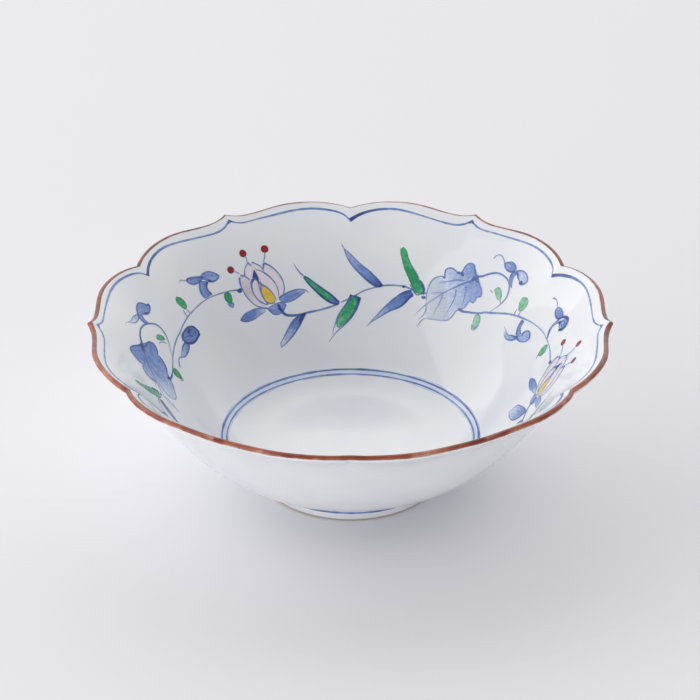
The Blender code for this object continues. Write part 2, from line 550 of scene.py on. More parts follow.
@dataclass(frozen=True)
class BrushedPigment:
    """A mineral colour brushed on the bowl and fired.

    It gives the eye the brush: thin and thick by turns along a stroke, darker where the colour
    gathered at an edge, and soft where the hair left the clay.
    """

    name: str
    thin: str
    full: str
    heavy: str
    feather: float = 0.16
    pool: float = 0.35
    pool_width: float = 0.30
    mottle: float = 0.22
    mottle_size: float = 1.3
    streak: float = 0.16
    hairs_across: float = 3.2  # streaks in a millimetre across the stroke
    hairs_along: float = 0.22  # and along it
    stops: tuple[float, float, float] = (0.14, 0.58, 1.0)  # loads that look thin, full and heavy
    covering_load: float = 0.22  # least load that hides what lies under it
    opacity: float = 1.0
    roughness: float = 0.07
    ground: ClearGlaze = ClearGlaze()

    def density(self, tree: Tree) -> tuple[Socket, Socket]:
        """Adds the pigment's thickness.

        Args:
            tree: The node tree to add to.

        Returns:
            The sockets of how much pigment there is, and of how much of the ground it hides.
        """
        brush = add_node(tree, "ShaderNodeAttribute", attribute_name="brush")
        split = add_node(tree, "ShaderNodeSeparateXYZ", {"Vector": brush.outputs["Vector"]})
        edge = split.outputs["Z"]
        load = add_node(tree, "ShaderNodeAttribute", attribute_name="load").outputs["Fac"]
        grain = add_node(
            tree, "ShaderNodeTexNoise",
            {"Vector": object_point(tree), "Scale": 1 / (self.mottle_size * MM), "Detail": 3.0},
        )
        hairs = add_node(
            tree, "ShaderNodeMapping",
            {"Vector": brush.outputs["Vector"], "Scale": (self.hairs_across, self.hairs_along, 0.0)},
        )
        streaks = add_node(
            tree, "ShaderNodeTexNoise", {"Vector": hairs.outputs["Vector"], "Scale": 1.0, "Detail": 2.0},
        )
        rough_edge = add_node(
            tree, "ShaderNodeMath", {0: grain.outputs["Fac"], 1: self.feather, 2: -0.5 * self.feather},
            operation="MULTIPLY_ADD",
        )
        reach = add_node(tree, "ShaderNodeMath", {0: edge, 1: rough_edge.outputs[0]}, operation="ADD")
        cover = add_node(
            tree, "ShaderNodeMapRange",
            {"Value": reach.outputs[0], "From Min": 0.0, "From Max": self.feather},
            interpolation_type="SMOOTHSTEP",
        )
        pooled = add_node(
            tree,
            "ShaderNodeMapRange",
            {
                "Value": edge, "From Min": self.feather, "From Max": self.feather + self.pool_width,
                "To Min": self.pool, "To Max": 0.0,
            },
        )
        mottled = add_node(
            tree, "ShaderNodeMath", {0: grain.outputs["Fac"], 1: self.mottle * 2, 2: -self.mottle},
            operation="MULTIPLY_ADD",
        )
        streaked = add_node(
            tree, "ShaderNodeMath", {0: streaks.outputs["Fac"], 1: self.streak * 2, 2: -self.streak},
            operation="MULTIPLY_ADD",
        )
        amount = load
        for part in (pooled.outputs["Result"], mottled.outputs[0], streaked.outputs[0]):
            amount = add_node(tree, "ShaderNodeMath", {0: amount, 1: part}, operation="ADD").outputs[0]
        present = add_node(
            tree, "ShaderNodeMapRange",
            {"Value": load, "From Min": 0.0, "From Max": self.covering_load, "To Max": self.opacity},
        )
        hiding = add_node(
            tree, "ShaderNodeMath", {0: cover.outputs["Result"], 1: present.outputs["Result"]},
            operation="MULTIPLY",
        )
        return amount, hiding.outputs[0]

    def material(self) -> Material:
        """Builds the material.

        Returns:
            The finished material.
        """
        made, tree = new_tree(self.name)
        amount, hiding = self.density(tree)
        ramp = add_node(tree, "ShaderNodeValToRGB", {"Fac": amount})
        stops = ramp.color_ramp.elements
        stops[0].position, stops[0].color = self.stops[0], linear(self.thin)
        stops[1].position, stops[1].color = self.stops[2], linear(self.heavy)
        middle = stops.new(self.stops[1])
        middle.color = linear(self.full)
        glass_coat(tree, ramp.outputs["Color"], self.ground.ripple(tree), self.roughness, hiding)
        return made


class Pigment(Enum):
    """The colours on the painter's bench."""

    # Cobalt oxide under the glaze, drawn with a pointed brush: crisp, and darker where it paused.
    COBALT_LINE = BrushedPigment(
        "cobalt_line", thin="A9BBE2", full="5E80C0", heavy="1A3784", feather=0.24, pool=0.0, mottle=0.18,
        mottle_size=2.2,
    )
    # The same cobalt let down with water and filled in with a full brush: pale, streaked, pooled.
    COBALT_WASH = BrushedPigment(
        "cobalt_wash", thin="DCE5F6", full="7693D1", heavy="1F4096", feather=0.2, pool=0.12, mottle=0.2,
        streak=0.3,
    )
    # The thinnest cobalt wash, laid between two wheel lines: an even, faint blue.
    COBALT_TINT = BrushedPigment(
        "thin_cobalt_tint", thin="E2E9F7", full="D2DDF4", heavy="B6C8EA", feather=0.3, pool=0.0, mottle=0.1
    )
    # Copper-green lead enamel, low fired on the glaze: glassy, raised, paler where it is thin.
    GREEN_ENAMEL = BrushedPigment(
        "green_enamel", thin="B9DFCF", full="34A56C", heavy="0F6444", feather=0.22, pool=0.16, mottle=0.24
    )
    # Iron-red enamel: thin and opaque, with a little gloss.
    IRON_RED = BrushedPigment("iron_red_enamel", thin="BF4A48", full="A01E26", heavy="720F18", feather=0.14)
    # Antimony-yellow enamel: raised and glassy, browner at its pooled edge.
    YELLOW_ENAMEL = BrushedPigment("yellow_enamel", thin="F4E28E", full="ECC944", heavy="C4922A", pool=0.15)
    # A hardly coloured manganese wash: a breath of violet on the white.
    PINK_WASH = BrushedPigment(
        "petal_wash", thin="EFECF3", full="E8DCE6", heavy="D5BCD0", feather=0.3, pool=0.0, mottle=0.28
    )
    # Iron-rich glaze brushed on the lip: glossy, red-brown where thin, near black where it pools.
    IRON_BROWN = BrushedPigment(
        "iron_brown_glaze", thin="D69F86", full="9C4D34", heavy="5C2012", feather=0.5, pool=0.0, mottle=0.3,
        mottle_size=3.5, streak=0.25, roughness=0.16,
    )


@dataclass(frozen=True)
class BareFoot:
    """Unglazed porcelain, ground flat. It gives the eye a matt, warm edge, mottled with a darker brown."""

    name: str = "bare_ground_porcelain"
    clay: str = "D9CFC2"
    # a darker brown, mottled through the bare land by the grain noise
    darker_brown: str = "A58F7C"
    grain_size: float = 0.8
    grain_height: float = 0.05
    grain_strength: float = 0.6
    roughness: float = 0.7

    def material(self) -> Material:
        """Builds the material.

        Returns:
            The finished material.
        """
        made, tree = new_tree(self.name)
        grain = add_node(
            tree, "ShaderNodeTexNoise",
            {"Vector": object_point(tree), "Scale": 1 / (self.grain_size * MM), "Detail": 4.0},
        )
        colour = mix_colours(tree, grain.outputs["Fac"], linear(self.clay), linear(self.darker_brown))
        bump = add_node(
            tree,
            "ShaderNodeBump",
            {
                "Height": grain.outputs["Fac"], "Strength": self.grain_strength,
                "Distance": self.grain_height * MM,
            },
        )
        glass_coat(tree, colour, bump.outputs["Normal"], self.roughness)
        return made


# ---------------------------------------------------------------------------- the porcelain


def link_piece(name: str, mesh: bmesh.types.BMesh, materials: Sequence[Material]) -> bpy.types.Object:
    """Makes a finished, smooth-shaded piece that rides on the bowl.

    Args:
        name: The piece's name.
        mesh: Its shape, which this frees.
        materials: Its materials, in slot order.

    Returns:
        The linked object, at the origin.
    """
    data = bpy.data.meshes.new(name)
    mesh.to_mesh(data)
    mesh.free()
    data.shade_smooth()
    for material in materials:
        data.materials.append(material)
    piece = bpy.data.objects.new(name, data)
    bpy.context.scene.collection.objects.link(piece)
    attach(piece, ROOT)
    log.info("%s: %d faces", name, len(data.polygons))
    return piece


def turned(section: Sequence[tuple[float, float]], steps: int, closed: bool) -> bmesh.types.BMesh:
    """Spins a section about the bowl's axis.

    Args:
        section: Points (radius, height) in millimetres.
        steps: How many faces go round.
        closed: Whether the section is a ring, and not a line that ends on the axis.

    Returns:
        The turned mesh, in metres, with its poles and seam closed and its faces pointing out.
    """
    mesh = bmesh.new()
    points = [mesh.verts.new((radius * MM, 0, height * MM)) for radius, height in section]
    edges = [mesh.edges.new(pair) for pair in zip(points, points[1:])]
    if closed:
        edges.append(mesh.edges.new((points[-1], points[0])))
    bmesh.ops.spin(
        mesh, geom=points + edges, cent=(0, 0, 0), axis=(0, 0, 1), angle=2 * math.pi, steps=steps,
        use_merge=True,
    )
    bmesh.ops.remove_doubles(mesh, verts=mesh.verts, dist=MERGE_DISTANCE)
    bmesh.ops.recalc_face_normals(mesh, faces=mesh.faces)
    return mesh


@dataclass
class PorcelainBody:
    """The pressed body: a thin shell from the well to the lip and back to the foot's root."""

    form: BowlForm
    steps: int = 480
    crowding: float = 0.45
    inside_rows: int = 64
    outside_rows: int = 52
    crown_rows: int = 10
    sharp_angle: float = 28.0
    foot_seam: tuple[float, float] = (35.2, 8.15)
    recess_seam: tuple[float, float] = (26.6, 7.55)
    recess: tuple[tuple[float, float], ...] = ((25.4, 7.75), (20.0, 8.1), (10.0, 8.3), (0.0, 8.35))

    def section(self) -> list[tuple[float, float]]:
        """The half section, in millimetres, from the well's centre over the lip to the recess.

        Returns:
            Its points (radius, height).
        """
        lip, inner = Lip(self.form), InnerWall(self.form)
        half = self.form.lip_wall / 2
        depths = np.linspace(inner.depths[-1], half, self.inside_rows)
        inside = inner.meridian(depths)
        quarter = lip.crown_radius * math.pi / 2
        crown = lip.meridian(np.linspace(-quarter, quarter, self.crown_rows))
        falls, outside = self.form.outside_line()
        root = np.interp(-self.foot_seam[0], -outside[:, 0], falls)
        down = np.linspace(half, root, self.outside_rows)
        outer = np.stack([np.interp(down, falls, outside[:, axis]) for axis in (0, 1)], -1)
        points = np.concatenate([inside, crown, outer])
        return [tuple(point) for point in points] + [self.recess_seam, *self.recess]

    def press(self, mesh: bmesh.types.BMesh) -> None:
        """Presses the lobes in, with the vertices crowded towards the barbs and notches.

        Args:
            mesh: The plain turned body, which this changes.
        """
        turns = self.form.rim.lobes * 2
        places = np.array([vertex.co for vertex in mesh.verts]) / MM
        radius = np.hypot(places[:, 0], places[:, 1])
        turn = np.arctan2(places[:, 0], places[:, 1])
        turn -= self.crowding * np.sin(turns * turn) / turns
        made = self.form.pressed(np.degrees(turn), radius, places[:, 2])
        for vertex, point in zip(mesh.verts, made):
            vertex.co = point

    def build(self, glaze: Material) -> bpy.types.Object:
        """Builds the body in clear-glazed porcelain.

        Args:
            glaze: The clear glaze.

        Returns:
            The finished piece.
        """
        mesh = turned(self.section(), self.steps, closed=False)
        self.press(mesh)
        piece = link_piece("bowl_body_porcelain", mesh, [glaze])
        piece.data.set_sharp_from_angle(angle=math.radians(self.sharp_angle))
        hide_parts("bowl_body")
        return piece


@dataclass
class FootRing:
    """The ring that the bowl stands on: glazed sides that flare into the body, and a bare land."""

    form: BowlForm
    steps: int = 240
    sharp_angle: float = 40.0
    bare_above_land: float = 0.25
    land: tuple[tuple[float, float], ...] = (
        (31.0, 0.3), (30.6, 0.05), (30.1, 0.0), (29.3, 0.0), (28.8, 0.12),
    )
    inside: tuple[tuple[float, float], ...] = (
        (28.5, 0.5), (28.3, 1.2), (27.8, 3.5), (27.4, 5.6), (27.1, 6.7), (26.6, 7.5),
    )

    def build(self, glaze: Material, bare: Material) -> bpy.types.Object:
        """Builds the foot ring, glazed but for its land.

        Args:
            glaze: The clear glaze.
            bare: The bare clay of the land.

        Returns:
            The finished piece.
        """
        mesh = turned([*FOOT_SIDE, *self.land, *self.inside], self.steps, closed=True)
        land_height = self.land[0][1] * MM + self.bare_above_land * MM
        for face in mesh.faces:
            face.material_index = int(face.calc_center_median().z < land_height)
        piece = link_piece("foot_ring_porcelain", mesh, [glaze, bare])
        piece.data.set_sharp_from_angle(angle=math.radians(self.sharp_angle))
        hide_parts("foot_ring")
        return piece


# ---------------------------------------------------------------------------- brushwork


def smooth_path(points: Path, spacing: float, degree_mm: float) -> Numbers:
    """Evenly spaced points on a smooth curve through given ones.

    Args:
        points: (bearing, depth) pairs that the curve passes through.
        spacing: Millimetres between the points that come back.
        degree_mm: Millimetres that one degree of bearing is here.

    Returns:
        The curve's points, as rows of bearing and depth.
    """
    control = np.array(points, float)
    if len(control) == 2:
        control = np.array([control[0], control.mean(0), control[1]])
    ends = 2 * control[[0, -1]] - control[[1, -2]]
    padded = np.concatenate([ends[:1], control, ends[1:]])
    t = np.linspace(0, 1, SPAN_STEPS, endpoint=False)[:, None]
    spans = []
    for before, start, stop, after in zip(padded, padded[1:], padded[2:], padded[3:]):
        bend = 2 * before - 5 * start + 4 * stop - after
        twist = 3 * (start - stop) + after - before
        spans.append(0.5 * (2 * start + (stop - before) * t + bend * t**2 + twist * t**3))
    dense = np.concatenate([*spans, control[-1:]])
    steps = np.linalg.norm(np.diff(dense, axis=0) * (degree_mm, 1), axis=1)
    run = np.concatenate([[0], np.cumsum(steps)])
    count = max(4, math.ceil(run[-1] / spacing)) + 1
    even = np.linspace(0, run[-1], count)
    return np.stack([np.interp(even, run, dense[:, axis]) for axis in (0, 1)], -1)


def resampled(path: Numbers, count: int) -> Numbers:
    """The same path with this many points, evenly shared out by index.

    Args:
        path: Rows of bearing and depth.
        count: How many rows come back.

    Returns:
        The new rows.
    """
    share = np.linspace(0, 1, len(path))
    even = np.linspace(0, 1, count)
    return np.stack([np.interp(even, share, path[:, axis]) for axis in (0, 1)], -1)


@dataclass
class Turn:
    """One of the vine's three repeats, and how the painter's hand shifted it."""

    bearing: float
    nudge: float = 0.0
    drop: float = 0.0
    sway: float = 0.0
    sway_round: float = 0.23  # how fast the sway changes with bearing, and with depth
    sway_down: float = 0.31
    seed: int = 1

    def carry(self, points: Path) -> list[tuple[float, float]]:
        """Moves points drawn for the first repeat to this one.

        Args:
            points: (bearing, depth) pairs.

        Returns:
            The moved pairs.
        """
        moved = []
        for bearing, depth in points:
            wobble = self.sway * math.sin(self.sway_round * bearing + self.sway_down * depth + self.seed)
            moved.append((bearing + self.bearing + self.nudge + wobble, depth + self.drop + wobble))
        return moved


class PaintLayer:
    """All the strokes of one pigment, laid on one face of the bowl as thin raised films."""

    spacing: float = 0.55
    step_up: float = 0.0004
    line_gain: float = 1.4
    swell_width: float = 0.45
    pattern_step: float = 3.7  # how far each film's streaks are shifted from the last one's
    line_columns: int = 4
    dot_rows: int = 16
    dot_columns: int = 12
    ring_steps: int = 720
    ring_columns: int = 6
    ring_wander: float = 0.07
    ring_width_change: float = 0.16

    def __init__(
        self,
        name: str,
        pigment: Pigment,
        face: Surface,
        lift: float,
        swell: float = 0.0,
        spill: float = 0.0,
    ) -> None:
        """Starts an empty layer.

        Args:
            name: The piece's name.
            pigment: The colour that it is painted in.
            face: What it is painted on.
            lift: Millimetres that its lowest film stands off the face.
            swell: Millimetres that an enamel stands higher still, away from its edges.
            spill: Millimetres that a wash runs out past the edges drawn for it.
        """
        self.name = name
        self.pigment = pigment
        self.face = face
        self.lift = lift
        self.swell = swell
        self.spill = spill
        self.count = 0
        self.mesh = bmesh.new()
        self.load = self.mesh.verts.layers.float.new("load")
        self.brush = self.mesh.verts.layers.float_vector.new("brush")

    def degree_mm(self, depth: float) -> float:
        """Millimetres that one degree of bearing is at this depth."""
        return float(1 / self.face.degrees_per_mm(np.array(depth)))

    def film(
        self,
        left: Numbers,
        right: Numbers,
        loads: Sequence[float],
        columns: int,
        closed: bool = False,
        lean: float = 0.0,
    ) -> None:
        """Lays one film of pigment between two edges.

        Args:
            left: The film's left edge, as rows of bearing and depth.
            right: Its right edge, with as many rows.
            loads: How loaded the brush was, shared out along the stroke.
            columns: How many faces go across.
            closed: Whether the film's two ends meet, so that they aren't edges.
            lean: How much more load lies at the left edge than at the right.
        """
        rows = len(left) - 1
        made = bmesh.ops.create_grid(self.mesh, x_segments=columns, y_segments=rows, size=0.5)["verts"]
        grid = np.array([vertex.co for vertex in made])
        across = (grid[:, 0] + 0.5)[:, None]
        row = np.rint((grid[:, 1] + 0.5) * rows).astype(int)
        spot = left[row] * (1 - across) + right[row] * across
        degree_mm = self.degree_mm(float(spot[:, 1].mean()))
        scale = np.array((degree_mm, 1.0))
        outline = np.concatenate([left, right[::-1], left[:1]]) * scale
        if closed:
            width = np.linalg.norm((right - left) * scale, axis=1)[row]
            edge = np.minimum(across[:, 0], 1 - across[:, 0]) * width
        else:
            edge = distance_to_line(spot * scale, outline)
        film_load = np.interp(row / rows, np.linspace(0, 1, len(loads)), loads) + lean * (0.5 - across[:, 0])
        lift = self.lift + self.count * self.step_up + self.swell * smoothstep(edge / self.swell_width)
        places = self.face.place(spot[:, 0], spot[:, 1], lift)
        middle = (left + right) / 2 * scale
        run = np.concatenate([[0], np.cumsum(np.linalg.norm(np.diff(middle, axis=0), axis=1))])
        width = np.linalg.norm((right - left) * scale, axis=1)[row]
        for index, vertex in enumerate(made):
            vertex.co = places[index]
            vertex[self.load] = film_load[index]
            offset = (across[index, 0] - 0.5) * width[index]
            vertex[self.brush] = (offset + self.count * self.pattern_step, run[row[index]], edge[index])
        self.turn_outwards(made, spot)
        self.count += 1

    def turn_outwards(self, made: list[bmesh.types.BMVert], spot: Numbers) -> None:
        """Turns a new film's faces round if they look into the bowl's wall.

        Args:
            made: The film's vertices.
            spot: The bearing and depth of each.
        """
        faces = list({face for vertex in made for face in vertex.link_faces})
        largest = max(faces, key=lambda face: face.calc_area())
        largest.normal_update()
        bearing, depth = spot[made.index(largest.verts[0])]
        outward = self.face.normal(np.array([bearing]), np.array([depth]))[0]
        if largest.normal.dot(Vector(outward)) < 0:
            for face in faces:
                face.normal_flip()

    def stroke(self, points: Path, widths: Sequence[float], loads: Sequence[float] = (0.6,)) -> None:
        """Draws one brush stroke.

        Args:
            points: Given (bearing, depth) points along its middle.
            widths: Its width in millimetres, shared out along it.
            loads: How loaded the brush was, shared out along it.
        """
        degree_mm = self.degree_mm(points[len(points) // 2][1])
        path = smooth_path(points, self.spacing, degree_mm)
        scale = np.array((degree_mm, 1.0))
        heading = np.gradient(path * scale, axis=0)
        heading /= np.linalg.norm(heading, axis=1, keepdims=True)
        side = np.stack([heading[:, 1], -heading[:, 0]], -1) / scale
        share = np.linspace(0, 1, len(path))
        width = np.interp(share, np.linspace(0, 1, len(widths)), widths) * self.line_gain
        half = side * width[:, None] / 2
        self.film(path - half, path + half, loads, self.line_columns)

    def wash(self, left: Path, right: Path, loads: Sequence[float] = (0.5,), columns: int = 10) -> None:
        """Fills the space between two edges that start and end together.

        Args:
            left: Given points along one edge.
            right: Hand-chosen points along the other, in the same direction.
            loads: How loaded the brush was, shared out along it.
            columns: How many faces go across.
        """
        degree_mm = self.degree_mm(left[len(left) // 2][1])
        one = smooth_path(left, self.spacing, degree_mm)
        other = smooth_path(right, self.spacing, degree_mm)
        count = max(len(one), len(other))
        one, other = resampled(one, count), resampled(other, count)
        scale = np.array((degree_mm, 1.0))
        away = (one - other) * scale
        width = np.maximum(np.linalg.norm(away, axis=1, keepdims=True), self.spacing)
        spilt = away / width * self.spill / scale
        self.film(one + spilt, other - spilt, loads, columns)

    def dot(self, centre: tuple[float, float], radius: float, load: float = 0.6) -> None:
        """Sets down one round dot.

        Args:
            centre: Its bearing and depth.
            radius: Its radius in millimetres.
            load: How loaded the brush was.
        """
        angle = np.linspace(0, math.pi, self.dot_rows + 1)
        degree_mm = self.degree_mm(centre[1])
        depth = centre[1] - radius * np.cos(angle)
        reach = radius * np.sin(angle) / degree_mm
        left = np.stack([centre[0] - reach, depth], -1)
        right = np.stack([centre[0] + reach, depth], -1)
        self.film(left, right, (load,), self.dot_columns)

    def ring(self, depth: float, width: float, seed: int, loads: tuple[float, float] = (0.45, 0.75)) -> None:
        """Draws a line right round the bowl, as on a turning wheel.

        Args:
            depth: How far down the face it runs.
            width: Its mean width in millimetres.
            seed: Picks how the hand wavered.
            loads: The least and the most that the brush was loaded.
        """
        bearing = np.linspace(-180, 180, self.ring_steps + 1)
        turn = np.radians(bearing)
        middle = depth + self.ring_wander * waves(turn, seed, (1, 2, 3, 7))
        half = width / 2 * (1 + self.ring_width_change * waves(turn, seed + 1, (3, 8, 13, 29)))
        share = 0.5 + 0.5 * waves(turn, seed + 2, (1, 4, 9, 17))
        load = loads[0] + (loads[1] - loads[0]) * np.clip(share, 0, 1)
        left = np.stack([bearing, middle - half], -1)
        right = np.stack([bearing, middle + half], -1)
        self.film(left, right, list(load), self.ring_columns, closed=True)

    def build(self) -> bpy.types.Object:
        """Finishes the layer as one piece.

        Returns:
            The finished piece.
        """
        bmesh.ops.remove_doubles(self.mesh, verts=self.mesh.verts, dist=MERGE_DISTANCE)
        piece = link_piece(self.name, self.mesh, [self.pigment.value.material()])
        return piece


def distance_to_line(points: Numbers, line: Numbers) -> Numbers:
    """The distance from each point to a broken line.

    Args:
        points: Points, as rows of x and y.
        line: The line's corners, as rows of x and y.

    Returns:
        One distance for each point.
    """
    start, span = line[:-1], np.diff(line, axis=0)
    length = np.maximum((span**2).sum(1), 1e-12)
    away = points[:, None] - start[None]
    share = np.clip((away * span).sum(2) / length, 0, 1)
    return np.linalg.norm(away - share[..., None] * span, axis=2).min(1)


@dataclass
class Palette:
    """The paint layers on the bowl's inside, in the order in which they lie."""

    petals: PaintLayer
    washes: PaintLayer
    greens: PaintLayer
    yellows: PaintLayer
    lines: PaintLayer
    reds: PaintLayer

    @classmethod
    def on(cls, face: Surface, suffix: str) -> "Palette":
        """Lays out the colours for one part of the vine."""
        return cls(
            petals=PaintLayer("petal_washes" + suffix, Pigment.PINK_WASH, face, 0.014, spill=0.2),
            washes=PaintLayer("cobalt_washes" + suffix, Pigment.COBALT_WASH, face, 0.020, spill=0.22),
            greens=PaintLayer("green_enamels" + suffix, Pigment.GREEN_ENAMEL, face, 0.030, swell=0.035),
            yellows=PaintLayer("yellow_enamels" + suffix, Pigment.YELLOW_ENAMEL, face, 0.028, swell=0.035),
            lines=PaintLayer("cobalt_lines" + suffix, Pigment.COBALT_LINE, face, 0.072),
            reds=PaintLayer("red_enamels" + suffix, Pigment.IRON_RED, face, 0.030, swell=0.07),
        )

    def build(self) -> list[bpy.types.Object]:
        """Finishes every layer that something was painted on."""
        layers = (self.petals, self.washes, self.greens, self.yellows, self.lines, self.reds)
        return [layer.build() for layer in layers if layer.count]


@dataclass
class Motif:
    """One part of the vine. Its points are those of the first repeat, and its turn carries them."""

    turn: Turn
    colours: Palette

    def line(self, points: Path, widths: Sequence[float], loads: Sequence[float]) -> None:
        """Draws one cobalt line."""
        self.colours.lines.stroke(self.turn.carry(points), widths, loads)

    def lines(self, *strokes: tuple[Path, Sequence[float], Sequence[float]]) -> None:
        """Draws several cobalt lines, each given as its points, widths and loads."""
        for points, widths, loads in strokes:
            self.line(points, widths, loads)

    def fill(
        self, layer: PaintLayer, left: Path, right: Path, loads: Sequence[float], columns: int = 10
    ) -> None:
        """Fills the space between two edges in the layer's colour."""
        layer.wash(self.turn.carry(left), self.turn.carry(right), loads, columns)

    def outlined(
        self,
        left: Path,
        right: Path,
        loads: Sequence[float],
        left_line: Brushing,
        right_line: Brushing,
    ) -> None:
        """Fills a shape with the cobalt wash and draws a line along each of its edges.

        Args:
            left: Points along one edge.
            right: Points along the other, in the same direction.
            loads: How loaded the brush was for the wash.
            left_line: Widths and loads of the line along the left edge.
            right_line: Widths and loads of the line along the right edge.
        """
        self.fill(self.colours.washes, left, right, loads)
        self.line(left, *left_line)
        self.line(right, *right_line)


